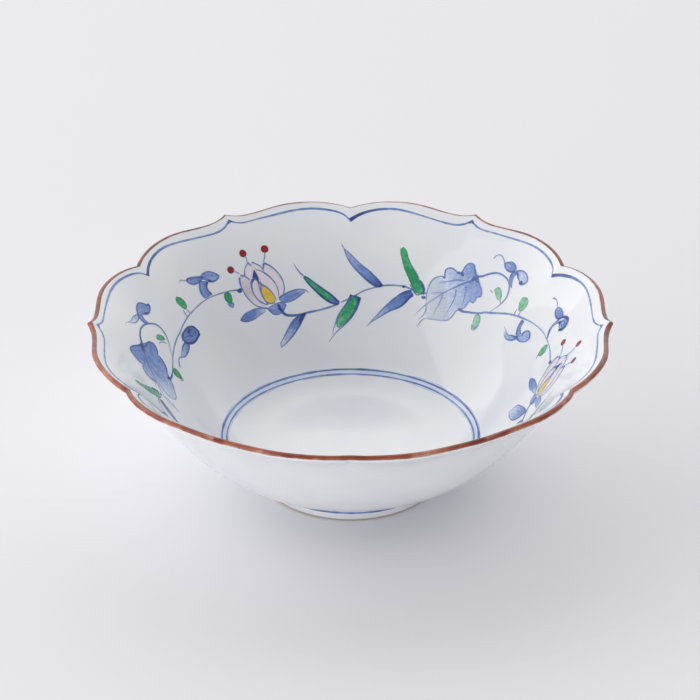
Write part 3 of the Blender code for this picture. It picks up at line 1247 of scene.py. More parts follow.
@dataclass
class LotusFlower(Motif):
    """The vine's flower: six thin petals round a yellow heart, with three red-tipped stamens."""

    tips: Path = ((-35.0, 19.6), (-29.8, 15.2), (-23.5, 15.4))
    tip_radii: tuple[float, ...] = (1.42, 1.45, 1.5)
    roots: Path = ((-32.8, 22.1), (-29.4, 18.8), (-24.9, 20.3))

    def petals(self) -> None:
        """Washes the petals in, over a first thin wash of the whole flower."""
        whole = [
            (-29.4, 19.3), (-31.3, 22.1), (-33.0, 24.6), (-33.4, 28.3), (-32.8, 31.0), (-31.4, 33.7),
            (-29.0, 35.5),
        ]
        whole_in = [
            (-29.4, 19.3), (-27.1, 20.4), (-24.8, 21.2), (-21.9, 24.6), (-20.8, 27.6), (-20.8, 30.8),
            (-22.6, 33.9), (-25.6, 35.1), (-29.0, 35.5),
        ]
        self.fill(self.colours.petals, whole, whole_in, (0.45, 0.4, 0.35), columns=24)
        outer_left = [
            (-33.2, 23.2), (-33.7, 25.6), (-33.5, 28.3), (-32.9, 31.0), (-31.6, 33.7), (-29.6, 35.6),
        ]
        outer_left_in = [
            (-33.2, 23.2), (-31.6, 23.6), (-30.7, 25.4), (-30.6, 28.6), (-30.3, 31.4), (-29.3, 33.9),
            (-28.6, 35.4),
        ]
        self.fill(self.colours.petals, outer_left, outer_left_in, (0.55, 0.5, 0.4))
        left = [(-30.1, 25.9), (-30.5, 27.7), (-30.6, 29.7), (-30.2, 31.6), (-29.3, 33.6), (-27.4, 35.2)]
        left_in = [
            (-30.1, 25.9), (-29.2, 24.9), (-28.4, 25.9), (-28.1, 28.4), (-28.2, 31.0), (-27.6, 33.6),
            (-26.8, 35.0),
        ]
        self.fill(self.colours.petals, left, left_in, (0.5, 0.6, 0.45))
        back = [(-29.4, 19.1), (-30.5, 20.3), (-31.3, 21.9), (-31.5, 23.3), (-30.3, 24.8)]
        back_in = [(-29.4, 19.1), (-28.6, 20.4), (-28.9, 22.2), (-29.6, 23.8), (-30.3, 24.8)]
        self.fill(self.colours.petals, back, back_in, (0.45, 0.35))
        behind = [(-28.3, 18.9), (-28.2, 20.5), (-27.6, 21.7), (-26.4, 22.7), (-25.5, 24.0)]
        behind_in = [(-28.3, 18.9), (-27.1, 20.0), (-26.0, 21.4), (-25.5, 22.9), (-25.5, 24.0)]
        self.fill(self.colours.petals, behind, behind_in, (0.5, 0.4))
        right = [(-27.8, 22.0), (-27.5, 24.5), (-26.6, 27.6), (-25.2, 29.9), (-24.2, 32.4), (-24.0, 34.2)]
        right_in = [(-27.8, 22.0), (-26.0, 23.3), (-24.2, 25.5), (-22.9, 28.6), (-22.6, 31.4), (-23.1, 33.9)]
        self.fill(self.colours.petals, right, right_in, (0.5, 0.45, 0.3))
        far_right = [(-24.8, 20.4), (-25.5, 22.6), (-24.6, 24.9), (-23.0, 27.6), (-22.5, 30.4), (-22.7, 33.0)]
        far_right_in = [
            (-24.8, 20.4), (-23.2, 22.0), (-21.8, 24.2), (-20.6, 27.4), (-20.5, 30.3), (-21.3, 33.0),
        ]
        self.fill(self.colours.petals, far_right, far_right_in, (0.55, 0.45, 0.4))

    def heart(self) -> None:
        """Sets in the yellow heart and the dark wedge behind it."""
        left = [(-27.5, 27.8), (-27.9, 30.2), (-27.6, 32.9), (-26.8, 34.6), (-25.4, 35.1)]
        right = [(-27.5, 27.8), (-26.1, 28.9), (-24.8, 31.0), (-24.1, 33.2), (-24.3, 34.6), (-25.4, 35.1)]
        self.fill(self.colours.yellows, left, right, (0.55, 0.6, 0.5))
        wedge = [(-28.1, 21.6), (-28.8, 23.4), (-29.6, 25.3), (-30.0, 26.7)]
        wedge_in = [(-28.1, 21.6), (-27.8, 23.6), (-27.6, 25.3), (-27.9, 26.4), (-28.8, 25.4), (-30.0, 26.7)]
        self.fill(self.colours.washes, wedge, wedge_in, (1.0, 0.95, 0.85), columns=10)

    def outlines(self) -> None:
        """Draws the petals' outlines."""
        thin, even = (0.25, 0.5, 0.45, 0.35), (0.5, 0.45, 0.4)
        strokes = (
            (
                [
                    (-33.2, 23.0), (-33.7, 25.4), (-33.6, 28.0), (-33.1, 30.4), (-32.2, 32.6), (-31.0, 34.5),
                    (-29.2, 35.8),
                ],
                (0.75, 0.5, 0.5, 0.45, 0.5),
            ),
            ([(-32.9, 22.4), (-31.9, 23.1), (-31.0, 23.9), (-30.3, 25.3)], (0.7, 0.5, 0.4)),
            (
                [
                    (-30.0, 25.6), (-30.5, 27.7), (-30.6, 29.7), (-30.2, 31.5), (-29.3, 33.4), (-28.0, 34.7),
                    (-26.8, 35.3),
                ],
                (0.8, 0.5, 0.45, 0.5, 0.45),
            ),
            (
                [
                    (-30.2, 25.8), (-29.4, 24.9), (-28.6, 25.1), (-28.1, 27.0), (-28.2, 29.8), (-28.1, 31.6),
                    (-27.5, 33.8), (-26.8, 35.1),
                ],
                (0.5, 0.4, 0.4, 0.5),
            ),
            ([(-31.5, 23.3), (-31.2, 21.8), (-30.5, 20.3), (-29.4, 19.0)], even),
            ([(-29.8, 18.5), (-29.3, 18.9), (-28.6, 20.4)], (0.3, 0.8, 0.35)),
            ([(-28.3, 18.9), (-27.1, 20.0), (-26.1, 21.2), (-25.5, 22.8)], even),
            (
                [
                    (-27.9, 21.9), (-26.8, 22.5), (-25.6, 23.6), (-24.3, 25.4), (-23.3, 27.4), (-22.7, 29.4),
                    (-22.6, 31.6), (-22.9, 33.3),
                ],
                thin,
            ),
            ([(-24.8, 20.3), (-25.2, 21.6), (-25.6, 23.0)], (0.75, 0.6, 0.4)),
            (
                [
                    (-24.9, 20.2), (-23.3, 21.7), (-21.9, 23.8), (-20.9, 26.2), (-20.4, 28.6), (-20.5, 30.8),
                    (-21.2, 32.8),
                ],
                (0.7, 0.5, 0.5, 0.45),
            ),
            (
                [(-27.8, 26.2), (-27.4, 27.5), (-26.1, 28.8), (-24.9, 30.7), (-24.1, 32.8), (-23.9, 34.5)],
                (0.9, 0.55, 0.45, 0.4),
            ),
            (
                [(-27.5, 27.6), (-27.9, 30.0), (-27.7, 32.6), (-26.9, 34.5), (-25.5, 35.3), (-24.2, 34.8)],
                (0.4, 0.35, 0.4),
            ),
        )
        for points, widths in strokes:
            self.line(points, widths, (0.62, 0.5, 0.45, 0.55))

    def stamens(self) -> None:
        """Draws the three stalks and sets a red dot on each."""
        for tip, radius, root in zip(self.tips, self.tip_radii, self.roots):
            middle = ((tip[0] + root[0]) / 2 + 0.25, (tip[1] + root[1]) / 2)
            stalk = self.turn.carry([tip, middle, root])
            self.colours.lines.stroke(stalk, (0.35, 0.45, 0.4), (0.3, 0.45))
            self.colours.reds.dot(stalk[0], radius, 0.62)

    def sepals(self) -> None:
        """Paints the two long sepals and the cup between them."""
        left_top = [(-38.3, 37.8), (-37.0, 36.9), (-35.3, 36.1), (-33.0, 35.7), (-30.3, 35.7), (-28.4, 36.1)]
        left_bottom = [
            (-38.3, 37.8), (-37.3, 38.5), (-35.7, 39.0), (-33.3, 39.0), (-31.3, 38.3), (-28.4, 37.4),
        ]
        self.outlined(
            left_top, left_bottom, (0.7, 0.72, 0.5, 0.3), ((0.3, 0.55, 0.5, 0.6, 0.5), (0.7, 0.5, 0.6)),
            ((0.3, 0.5, 0.35, 0.2), (0.6, 0.45, 0.2)),
        )
        right_top = [(-23.0, 33.8), (-21.3, 33.1), (-19.3, 32.3), (-17.0, 31.9), (-15.2, 32.1), (-13.9, 32.9)]
        right_bottom = [
            (-23.0, 34.6), (-21.3, 35.8), (-19.3, 35.8), (-17.0, 34.9), (-15.3, 33.8), (-13.9, 32.9),
        ]
        self.fill(self.colours.washes, right_top, right_bottom, (0.5, 0.6, 0.55, 0.35))
        self.line(
            [*right_top[:-1], (-14.0, 32.5), (-13.1, 33.7)], (0.7, 0.5, 0.45, 0.5, 0.35), (0.75, 0.55, 0.4),
        )
        self.line(right_bottom[1:], (0.35, 0.4, 0.3), (0.4, 0.45))
        cup_top = [(-27.7, 36.6), (-25.6, 35.8), (-23.3, 35.4), (-21.8, 35.6), (-20.9, 36.8)]
        cup_bottom = [
            (-27.7, 36.6), (-27.0, 38.0), (-26.0, 39.2), (-24.5, 39.6), (-22.9, 39.2), (-21.8, 38.1),
            (-20.9, 36.8),
        ]
        self.fill(self.colours.washes, cup_top, cup_bottom, (0.5, 0.55, 0.6))
        self.line([(-28.6, 35.9), (-27.2, 37.0), (-26.3, 38.6), (-24.9, 39.4)], (0.6, 0.5, 0.3), (0.6, 0.4))
        self.line([(-23.5, 35.9), (-23.5, 37.4), (-22.9, 38.9)], (0.9, 1.0, 0.9), (0.85, 0.9))

    def paint(self) -> None:
        """Paints the whole flower."""
        self.petals()
        self.heart()
        self.sepals()
        self.outlines()
        self.stamens()


@dataclass
class LongLeaves(Motif):
    """The long, narrow leaves between the flower and the broad leaf, and the stem they grow on."""

    hanging_upper: Path = (
        (-15.2, 40.9), (-17.3, 41.4), (-20.0, 42.9), (-22.0, 45.0), (-24.3, 47.6), (-27.3, 50.4),
    )
    hanging_lower: Path = (
        (-15.2, 40.9), (-16.6, 42.3), (-17.9, 44.6), (-20.0, 47.0), (-22.3, 49.0), (-25.0, 50.6),
        (-27.3, 51.6),
    )

    def blue_leaf(self, upper: Path, lower: Path, loads: Sequence[float]) -> None:
        """Paints one cobalt leaf: a wash from base to tip, and two outlines drawn from the base.

        Args:
            upper: Points along the leaf's upper edge.
            lower: Points along its lower edge.
            loads: How loaded the brush was, from base to tip.
        """
        upper_line = ((0.75, 0.6, 0.5, 0.45, 0.25), (0.85, 0.6, 0.5, 0.4))
        lower_line = ((0.8, 0.75, 0.55, 0.45, 0.25), (0.9, 0.75, 0.5, 0.4))
        self.outlined(upper, lower, loads, upper_line, lower_line)

    def stem(self) -> None:
        """Draws the stem from under the flower to the broad leaf."""
        first = [
            (-23.1, 38.7), (-22.0, 40.2), (-20.0, 40.9), (-17.3, 41.1), (-15.0, 40.8), (-12.6, 40.5),
            (-10.0, 40.2), (-7.0, 39.5), (-3.6, 38.3),
        ]
        second = [(-3.4, 38.0), (-0.6, 36.7), (2.0, 35.1), (4.1, 33.7), (6.4, 32.7), (8.4, 32.0)]
        third = [(9.6, 31.5), (12.0, 31.0), (14.4, 30.8), (16.3, 30.8), (18.2, 31.2), (19.6, 31.9)]
        self.lines(
            (first, (0.9, 0.75, 0.7, 0.6, 0.6), (0.8, 0.65, 0.55, 0.5)),
            (second, (0.45, 0.55, 0.5, 0.45), (0.35, 0.4, 0.4)),
            (third, (0.6, 0.5, 0.55, 0.5), (0.6, 0.42, 0.5)),
            ([(15.9, 31.2), (16.4, 30.9), (16.9, 30.5)], (0.5, 0.9, 0.4), (0.85,)),
            ([(22.4, 33.4), (23.3, 33.6), (24.2, 33.3)], (0.5, 1.0, 0.5), (0.8, 0.85)),
            ([(22.8, 32.6), (23.2, 32.0), (24.0, 31.7)], (0.8, 0.7, 0.4), (0.55, 0.35)),
        )

    def paint(self) -> None:
        """Paints the stem and its leaves."""
        self.stem()
        self.blue_leaf(self.hanging_upper,
            self.hanging_lower,
            (0.95, 0.75, 0.6, 0.45, 0.3, 0.1),
        )
        self.line([(-15.6, 41.0), (-17.0, 42.8), (-17.9, 44.8)], (1.1, 1.2, 0.5), (0.95, 0.85))
        self.blue_leaf([
            (9.8, 31.5), (8.6, 29.9), (7.0, 28.1), (5.4, 26.4), (3.4, 24.6), (1.4, 22.3), (-0.3, 20.1),
            (-1.9, 18.2),
        ],
            [
                (9.8, 31.5), (8.2, 31.8), (6.1, 30.7), (4.1, 28.9), (2.0, 26.6), (0.2, 24.1), (-1.1, 21.2),
                (-1.9, 18.2),
            ],
            (0.95, 0.7, 0.55, 0.5, 0.42),
        )
        self.line([(-1.8, 18.4), (-2.3, 17.1), (-2.8, 15.7)], (0.45, 0.35, 0.12), (0.45, 0.15))
        self.blue_leaf([
            (19.1, 32.0), (17.7, 32.5), (16.0, 33.6), (14.4, 35.2), (12.7, 37.2), (11.0, 39.4), (9.3, 41.8),
            (6.4, 45.6),
        ],
            [
                (19.9, 33.2), (18.7, 34.6), (17.7, 36.4), (16.5, 38.1), (14.4, 39.5), (12.4, 40.8),
                (10.0, 42.8), (6.4, 45.6),
            ],
            (0.85, 0.7, 0.6, 0.3, 0.22),
        )
        self.line([(6.8, 45.3), (6.0, 46.2), (5.2, 46.6)], (0.4, 0.3, 0.12), (0.4, 0.15))
        self.first_green()
        self.second_green()
        self.third_green()

    def first_green(self) -> None:
        """Paints the slim green leaf nearest the flower, blue at its base."""
        upper = [
            (-3.5, 37.9), (-4.7, 36.7), (-6.1, 35.0), (-8.0, 33.2), (-10.0, 31.2), (-12.0, 29.0),
            (-13.9, 27.2),
        ]
        lower = [
            (-3.5, 38.1), (-4.7, 38.5), (-6.5, 37.8), (-8.3, 36.3), (-10.1, 34.3), (-11.8, 31.9),
            (-13.3, 29.6), (-14.2, 27.4),
        ]
        self.fill(self.colours.greens, upper, lower, (0.75, 0.6, 0.55, 0.6))
        self.fill(self.colours.lines, upper[:3], lower[:3], (0.55, 0.75, 0.5), columns=6)
        self.lines(
            (upper, (0.6, 0.55, 0.45, 0.4), (0.95, 0.9, 0.75)),
            (lower, (0.6, 0.7, 0.55, 0.4), (0.9, 0.95, 0.8)),
            (
                [(-14.0, 27.4), (-15.0, 25.9), (-15.8, 24.0), (-16.4, 22.0)], (0.6, 0.55, 0.45, 0.1),
                (0.6, 0.55, 0.12),
            ),
        )

    def second_green(self) -> None:
        """Paints the broad green leaf that hangs from the stem."""
        upper = [(0.6, 35.2), (-0.9, 37.9), (-2.6, 40.2), (-4.2, 42.8), (-5.0, 45.2), (-5.0, 47.0)]
        lower = [(2.7, 35.6), (2.2, 38.9), (1.4, 41.2), (-0.3, 43.8), (-2.3, 46.0), (-4.1, 47.4)]
        self.fill(self.colours.greens, upper, lower, (0.65, 0.6, 0.5, 0.5))
        edge_left = [
            (0.4, 35.1), (-1.0, 38.0), (-2.6, 40.2), (-4.3, 42.8), (-5.2, 45.3), (-6.3, 48.0), (-6.6, 50.1),
        ]
        edge_right = [
            (2.9, 35.9), (2.3, 38.9), (1.5, 41.2), (-0.2, 43.9), (-2.2, 46.2), (-4.3, 48.0), (-6.5, 50.1),
            (-8.6, 52.8),
        ]
        self.lines(
            (edge_left, (0.9, 0.6, 0.5, 0.45, 0.2), (0.9, 0.65, 0.5, 0.35, 0.15)),
            (edge_right, (1.0, 0.7, 0.65, 0.5, 0.4, 0.15), (0.95, 0.8, 0.75, 0.5, 0.3, 0.12)),
            ([(0.9, 35.3), (1.5, 36.2), (2.1, 35.3)], (0.9, 0.5, 0.8), (0.9, 0.8)),
        )

    def third_green(self) -> None:
        """Paints the thick green leaf that points up at the lip."""
        upper = [
            (14.4, 16.5), (15.5, 17.6), (16.2, 19.7), (17.5, 22.3), (19.1, 24.9), (20.7, 27.4), (22.2, 29.5),
            (22.9, 31.5), (21.9, 32.8),
        ]
        lower = [
            (14.4, 16.5), (13.6, 17.6), (13.9, 19.5), (14.7, 22.2), (15.7, 24.9), (17.2, 27.6), (18.5, 29.9),
            (19.9, 32.2), (21.9, 32.8),
        ]
        self.fill(self.colours.greens, upper, lower, (0.5, 0.55, 0.6, 0.7, 0.6, 0.35))
        self.lines(
            ([(17.7, 22.9), (19.3, 25.1), (20.9, 27.5)], (0.2, 0.35, 0.3), (0.3, 0.4)),
            (
                [(20.9, 27.5), (22.2, 29.4), (23.0, 31.3), (22.1, 32.8)], (0.3, 0.8, 0.7, 0.5),
                (0.7, 0.9, 0.85),
            ),
            ([(18.0, 29.4), (19.3, 31.5), (20.8, 33.0), (22.1, 32.8)], (0.25, 0.5, 0.4), (0.5, 0.7, 0.6)),
        )


@dataclass
class BroadLeaf(Motif):
    """The broad, lobed cobalt leaf, drawn with its tip trailing off in hairs."""

    def paint(self) -> None:
        """Paints the leaf's washes, outline, veins and hairs."""
        upper = [
            (24.4, 35.0), (24.0, 31.7), (24.0, 29.5), (24.5, 27.2), (25.3, 25.8), (26.7, 24.8), (28.2, 24.6),
            (27.8, 23.1), (28.0, 21.7), (29.2, 20.9), (30.7, 21.3), (31.9, 22.1), (32.9, 21.0), (33.1, 19.2),
            (33.8, 17.7), (34.8, 17.2), (35.8, 17.7), (36.5, 19.5), (37.4, 21.2),
        ]
        lower = [
            (24.4, 35.0), (24.9, 37.6), (26.0, 40.6), (28.2, 40.4), (30.3, 40.2), (32.2, 39.8), (33.7, 39.1),
            (34.7, 37.4), (35.3, 35.3), (36.2, 34.2), (37.5, 33.4), (38.1, 31.6), (38.6, 30.2), (39.8, 30.5),
            (40.3, 29.3), (40.4, 27.9), (41.6, 27.1), (41.1, 25.1), (40.0, 23.8), (38.8, 22.3), (37.4, 21.2),
        ]
        self.fill(self.colours.washes, upper, lower, (0.03, 0.07, 0.15, 0.3, 0.45, 0.56, 0.64), columns=30)
        self.outline(upper, lower)
        self.veins()

    def outline(self, upper: Path, lower: Path) -> None:
        """Draws the scalloped outline in short strokes, one to a lobe.

        Args:
            upper: The outline's points on the side of the lip.
            lower: And on the side of the well.
        """
        thin = (0.4, 0.5, 0.4)
        for start, stop, loads in (
            (0, 7, (0.25, 0.35, 0.6)), (6, 12, (0.7, 0.55, 0.75)), (11, 19, (0.8, 0.55, 0.7)),
        ):
            self.line(upper[start:stop], thin, loads)
        for start, stop, loads in (
            (2, 10, (0.2, 0.3, 0.4)), (9, 14, (0.4, 0.4)), (13, 16, (0.45, 0.45)), (15, 21, (0.5, 0.45, 0.6)),
        ):
            self.line(lower[start:stop], thin, loads)
        self.lines(
            ([(32.7, 21.4), (33.2, 22.0), (33.7, 22.7)], (0.9, 1.0, 0.5), (0.9, 0.8)),
            ([(31.5, 22.3), (31.9, 21.9), (32.1, 21.2)], (0.4, 0.9, 0.4), (0.8, 0.7)),
            ([(27.6, 24.7), (28.1, 24.8), (28.4, 24.3)], (0.5, 1.0, 0.4), (0.7, 0.6)),
            ([(36.6, 23.3), (37.3, 22.0), (38.4, 20.6)], (0.9, 1.3, 0.9), (0.7, 0.85, 0.75)),
            ([(37.3, 20.6), (38.0, 22.2), (38.8, 23.2)], (0.6, 1.1, 0.6), (0.6, 0.8, 0.6)),
        )

    def veins(self) -> None:
        """Draws the midrib, the side veins and the hairs at the tip."""
        veins = (
            (
                [
                    (37.1, 22.9), (34.6, 24.9), (32.4, 27.1), (30.0, 29.5), (28.0, 31.8), (26.3, 33.8),
                    (24.5, 36.0), (22.7, 38.9), (21.6, 40.9),
                ],
                (0.6, 0.55, 0.45, 0.4, 0.4, 0.15), (0.65, 0.6, 0.45, 0.35, 0.35, 0.15),
            ),
            (
                [(34.6, 23.9), (32.0, 24.6), (29.6, 25.9), (26.9, 27.0)], (0.6, 0.5, 0.45, 0.2),
                (0.5, 0.45, 0.3),
            ),
            ([(29.7, 29.8), (27.3, 30.8), (24.7, 31.5)], (0.35, 0.4, 0.2), (0.35, 0.3)),
            ([(29.3, 30.8), (28.9, 34.3), (27.8, 39.0)], (0.35, 0.4, 0.2), (0.35, 0.25)),
            ([(32.9, 27.6), (33.3, 31.4), (32.4, 37.0)], (0.45, 0.45, 0.25), (0.5, 0.4, 0.25)),
            ([(35.7, 25.4), (36.4, 29.2), (36.7, 32.8)], (0.5, 0.45, 0.25), (0.55, 0.4, 0.3)),
            (
                [(24.4, 35.2), (25.1, 37.8), (24.5, 40.2), (22.9, 42.3)], (0.35, 0.5, 0.4, 0.12),
                (0.3, 0.35, 0.12),
            ),
            (
                [(26.2, 40.6), (25.0, 41.2), (24.1, 43.0), (23.5, 44.9)], (0.35, 0.45, 0.4, 0.12),
                (0.3, 0.32, 0.12),
            ),
        )
        for points, widths, loads in veins:
            self.line(points, widths, loads)


@dataclass
class BroadLeafTwo(BroadLeaf):
    """The same leaf as the painter drew it the second time: fuller, darker, and with fewer lobes."""

    def paint(self) -> None:
        """Paints the leaf's washes, outline, veins and hairs."""
        upper = [
            (27.6, 39.5), (27.4, 36.5), (27.4, 33.6), (27.9, 31.2), (26.8, 28.4), (27.0, 25.8), (28.1, 24.2),
            (29.7, 24.0), (29.4, 20.8), (30.1, 18.0), (31.5, 17.1), (33.5, 18.0), (35.4, 19.6), (37.6, 21.6),
        ]
        lower = [
            (27.6, 39.5), (29.8, 42.0), (32.0, 42.2), (34.0, 41.2), (36.4, 39.7), (37.8, 37.6), (39.0, 35.9),
            (40.9, 34.2), (41.8, 31.5), (41.6, 29.3), (43.0, 28.2), (43.7, 26.2), (42.9, 24.4), (41.2, 23.3),
            (39.2, 23.4), (37.6, 21.6),
        ]
        self.fill(self.colours.washes, upper, lower, (0.1, 0.25, 0.45, 0.6, 0.66, 0.7), columns=30)
        thin = (0.45, 0.55, 0.45)
        for path, start, stop, loads in (
            (upper, 2, 8, (0.3, 0.6, 0.75)), (upper, 7, 14, (0.7, 0.75, 0.95)),
            (lower, 1, 7, (0.2, 0.3, 0.6)), (lower, 6, 10, (0.85, 0.75, 0.7)),
            (lower, 9, 16, (0.85, 0.7, 0.9)),
        ):
            self.line(path[start:stop], thin, loads)
        self.line([(36.0, 23.8), (37.4, 22.2), (38.9, 21.2)], (1.2, 1.6, 1.0), (0.95, 0.95))
        self.line([(37.0, 36.4), (37.4, 37.0), (38.2, 37.8)], (1.0, 1.0, 0.5), (0.9, 0.7))
        self.veins()


@dataclass
class CurlSpray(Motif):
    """The arching stalk, small leaves and curled tendrils between the broad leaf and the flower."""

    def stalks(self) -> None:
        """Draws the arching stalk and the vine."""
        arch = [
            (38.0, 20.9), (39.4, 20.2), (40.9, 18.8), (42.6, 17.5), (44.3, 17.0), (46.1, 17.2), (47.7, 17.9),
            (48.9, 19.2), (49.7, 21.3), (50.0, 23.3), (49.7, 25.4), (48.9, 27.4), (47.9, 29.2), (46.9, 30.6),
        ]
        self.line(arch, (0.7, 0.65, 0.6, 0.6, 0.6, 0.5, 0.25), (0.7, 0.55, 0.55, 0.45, 0.4, 0.2))
        vine = [
            (35.7, 34.1), (37.4, 34.5), (39.4, 34.1), (41.7, 33.5), (43.7, 32.7), (45.4, 31.7), (48.0, 30.7),
            (50.7, 29.5), (54.0, 28.0), (58.0, 26.8), (60.7, 26.1), (63.4, 25.5), (66.0, 25.1), (68.7, 24.8),
            (71.4, 24.7), (74.1, 25.0), (76.7, 25.3), (79.9, 25.9), (82.4, 26.7), (84.4, 27.4),
        ]
        self.line(
            vine, (0.8, 0.6, 0.65, 0.6, 0.6, 0.45, 0.4, 0.45, 0.5),
            (0.75, 0.5, 0.5, 0.5, 0.42, 0.3, 0.3, 0.35, 0.5),
        )
        self.line([(84.2, 27.2), (84.7, 27.6), (85.7, 27.5)], (0.7, 1.3, 1.0), (0.75, 0.85))

    def small_leaf(self, left: Path, right: Path, load: float, stems: Sequence[Path]) -> None:
        """Paints one small green leaf on its cobalt stems.

        Args:
            left: Points along one edge.
            right: Points along the other.
            load: How loaded the brush was.
            stems: Points along each stem.
        """
        self.fill(self.colours.greens, left, right, (load, load, load * 0.9))
        for stem in stems:
            self.line(stem, (0.35, 0.5, 0.4), (0.3, 0.38, 0.35))

    def small_leaves(self) -> None:
        """Paints the four small leaves."""
        self.small_leaf([(44.8, 23.0), (45.3, 21.8), (46.2, 21.4), (47.4, 22.2), (48.3, 23.8), (48.7, 25.6)],
            [(44.8, 23.0), (45.3, 23.8), (46.2, 24.8), (47.4, 25.8), (48.7, 25.6)],
            0.36,
            ([(43.6, 23.6), (44.3, 24.0), (44.9, 24.4)], [(48.4, 25.4), (49.0, 26.2), (49.4, 26.6)]),
        )
        self.small_leaf([(43.2, 32.9), (42.3, 34.0), (42.4, 35.9), (43.1, 38.0), (43.9, 39.2)],
            [(43.2, 32.9), (44.6, 33.8), (45.3, 35.8), (45.0, 37.6), (43.9, 39.2)],
            0.34,
            ([(42.6, 37.2), (43.3, 38.8), (44.0, 39.6)], [(45.3, 36.6), (44.8, 38.3), (44.0, 39.6)]),
        )
        self.small_leaf([(56.9, 19.5), (55.4, 20.2), (55.1, 22.0), (55.8, 24.2), (56.9, 25.5)],
            [(56.9, 19.5), (58.2, 20.4), (58.5, 22.2), (58.1, 24.4), (56.9, 25.5)],
            0.42,
            ([(55.9, 24.6), (55.8, 26.2), (55.9, 27.6)], [(57.5, 24.9), (57.6, 26.1), (57.5, 27.3)]),
        )
        self.small_leaf([(77.2, 25.7), (76.1, 26.4), (75.5, 28.2), (75.7, 30.2), (76.6, 31.3)],
            [(77.2, 25.7), (78.2, 27.0), (78.4, 28.8), (77.8, 30.6), (76.6, 31.3)],
            0.48,
            ([(75.8, 29.8), (76.4, 31.6), (76.9, 32.4)],),
        )

    def top_curl(self) -> None:
        """Paints the curl that springs from the arch's top."""
        leaf_top = [(43.9, 13.2), (45.0, 12.0), (46.5, 11.7), (47.8, 12.6), (48.3, 13.7)]
        leaf_bottom = [(43.9, 13.2), (45.2, 14.6), (46.7, 14.9), (47.8, 14.4), (48.3, 13.7)]
        self.outlined(
            leaf_top, leaf_bottom, (0.5, 0.6, 0.7), ((0.4, 0.45, 0.4), (0.5, 0.5, 0.7)),
            ((0.4, 0.6, 0.5), (0.6, 0.7, 0.8)),
        )
        self.line(
            [(44.1, 13.2), (43.0, 11.8), (41.7, 10.9), (40.7, 11.4), (40.2, 12.9)], (0.5, 0.4, 0.45, 0.45),
            (0.5, 0.35, 0.3, 0.25),
        )
        stem_left = [(47.9, 13.8), (47.6, 15.6), (48.0, 17.4), (49.0, 18.6), (50.0, 19.9)]
        stem_right = [(49.3, 13.9), (48.9, 15.2), (48.9, 16.9), (49.4, 18.4), (50.0, 19.9)]
        self.outlined(
            stem_left, stem_right, (0.7, 0.5, 0.45), ((0.5, 0.45, 0.5, 0.4), (0.8, 0.5, 0.45)),
            ((0.4, 0.4, 0.45), (0.6, 0.45, 0.4)),
        )
        curl_out = [(48.4, 13.8), (50.2, 12.6), (52.2, 13.0), (53.5, 14.5), (53.3, 16.0), (52.2, 17.2)]
        curl_in = [(48.4, 13.8), (49.5, 14.5), (50.4, 15.6), (51.3, 16.2), (52.2, 17.2)]
        self.outlined(
            curl_out, curl_in, (0.6, 0.35, 0.32, 0.4), ((0.6, 0.45, 0.55, 0.6, 0.5), (0.7, 0.5, 0.6, 0.6)),
            ((0.6, 0.7, 0.4, 0.5), (0.75, 0.7, 0.5)),
        )
        self.line([(51.4, 16.0), (51.9, 16.4), (52.3, 17.2)], (1.0, 1.5, 0.7), (0.85, 0.8))

    def low_curl(self) -> None:
        """Paints the curl that hangs below the vine."""
        stem_left = [(60.3, 26.7), (59.9, 28.3), (60.2, 30.4), (61.2, 32.6)]
        stem_right = [(60.9, 26.9), (60.9, 28.7), (61.6, 30.2), (63.0, 31.2)]
        self.outlined(
            stem_left, stem_right, (0.55, 0.5, 0.55), ((0.7, 0.6, 0.7), (0.6, 0.55, 0.7)),
            ((0.5, 0.45, 0.5), (0.45, 0.5, 0.6)),
        )
        leaf_top = [(61.2, 32.6), (63.3, 31.3), (63.9, 29.4), (65.1, 28.4), (66.5, 28.9), (67.6, 30.4)]
        leaf_bottom = [(61.2, 32.6), (63.2, 33.4), (65.1, 33.0), (66.6, 31.9), (67.6, 30.4)]
        self.fill(self.colours.washes, leaf_top, leaf_bottom, (0.55, 0.45, 0.4, 0.5))
        self.line(leaf_top[1:], (0.9, 0.5, 0.5, 0.6), (0.85, 0.55, 0.6, 0.75))
        self.line(leaf_bottom, (0.8, 0.5, 0.5, 0.5), (0.75, 0.55, 0.5))
        tail_top = [(62.3, 33.1), (60.0, 33.5), (58.1, 34.3), (56.0, 33.4), (54.4, 32.4)]
        tail_bottom = [(62.3, 33.1), (61.0, 34.8), (58.9, 35.8), (57.1, 35.5), (55.8, 34.1)]
        self.fill(self.colours.washes, tail_top[:4], tail_bottom[:4], (0.6, 0.4, 0.35))
        self.line(tail_top, (0.6, 0.5, 0.45, 0.2), (0.7, 0.55, 0.4, 0.15))
        self.line(tail_bottom, (0.6, 0.5, 0.45, 0.25), (0.65, 0.5, 0.45, 0.3))

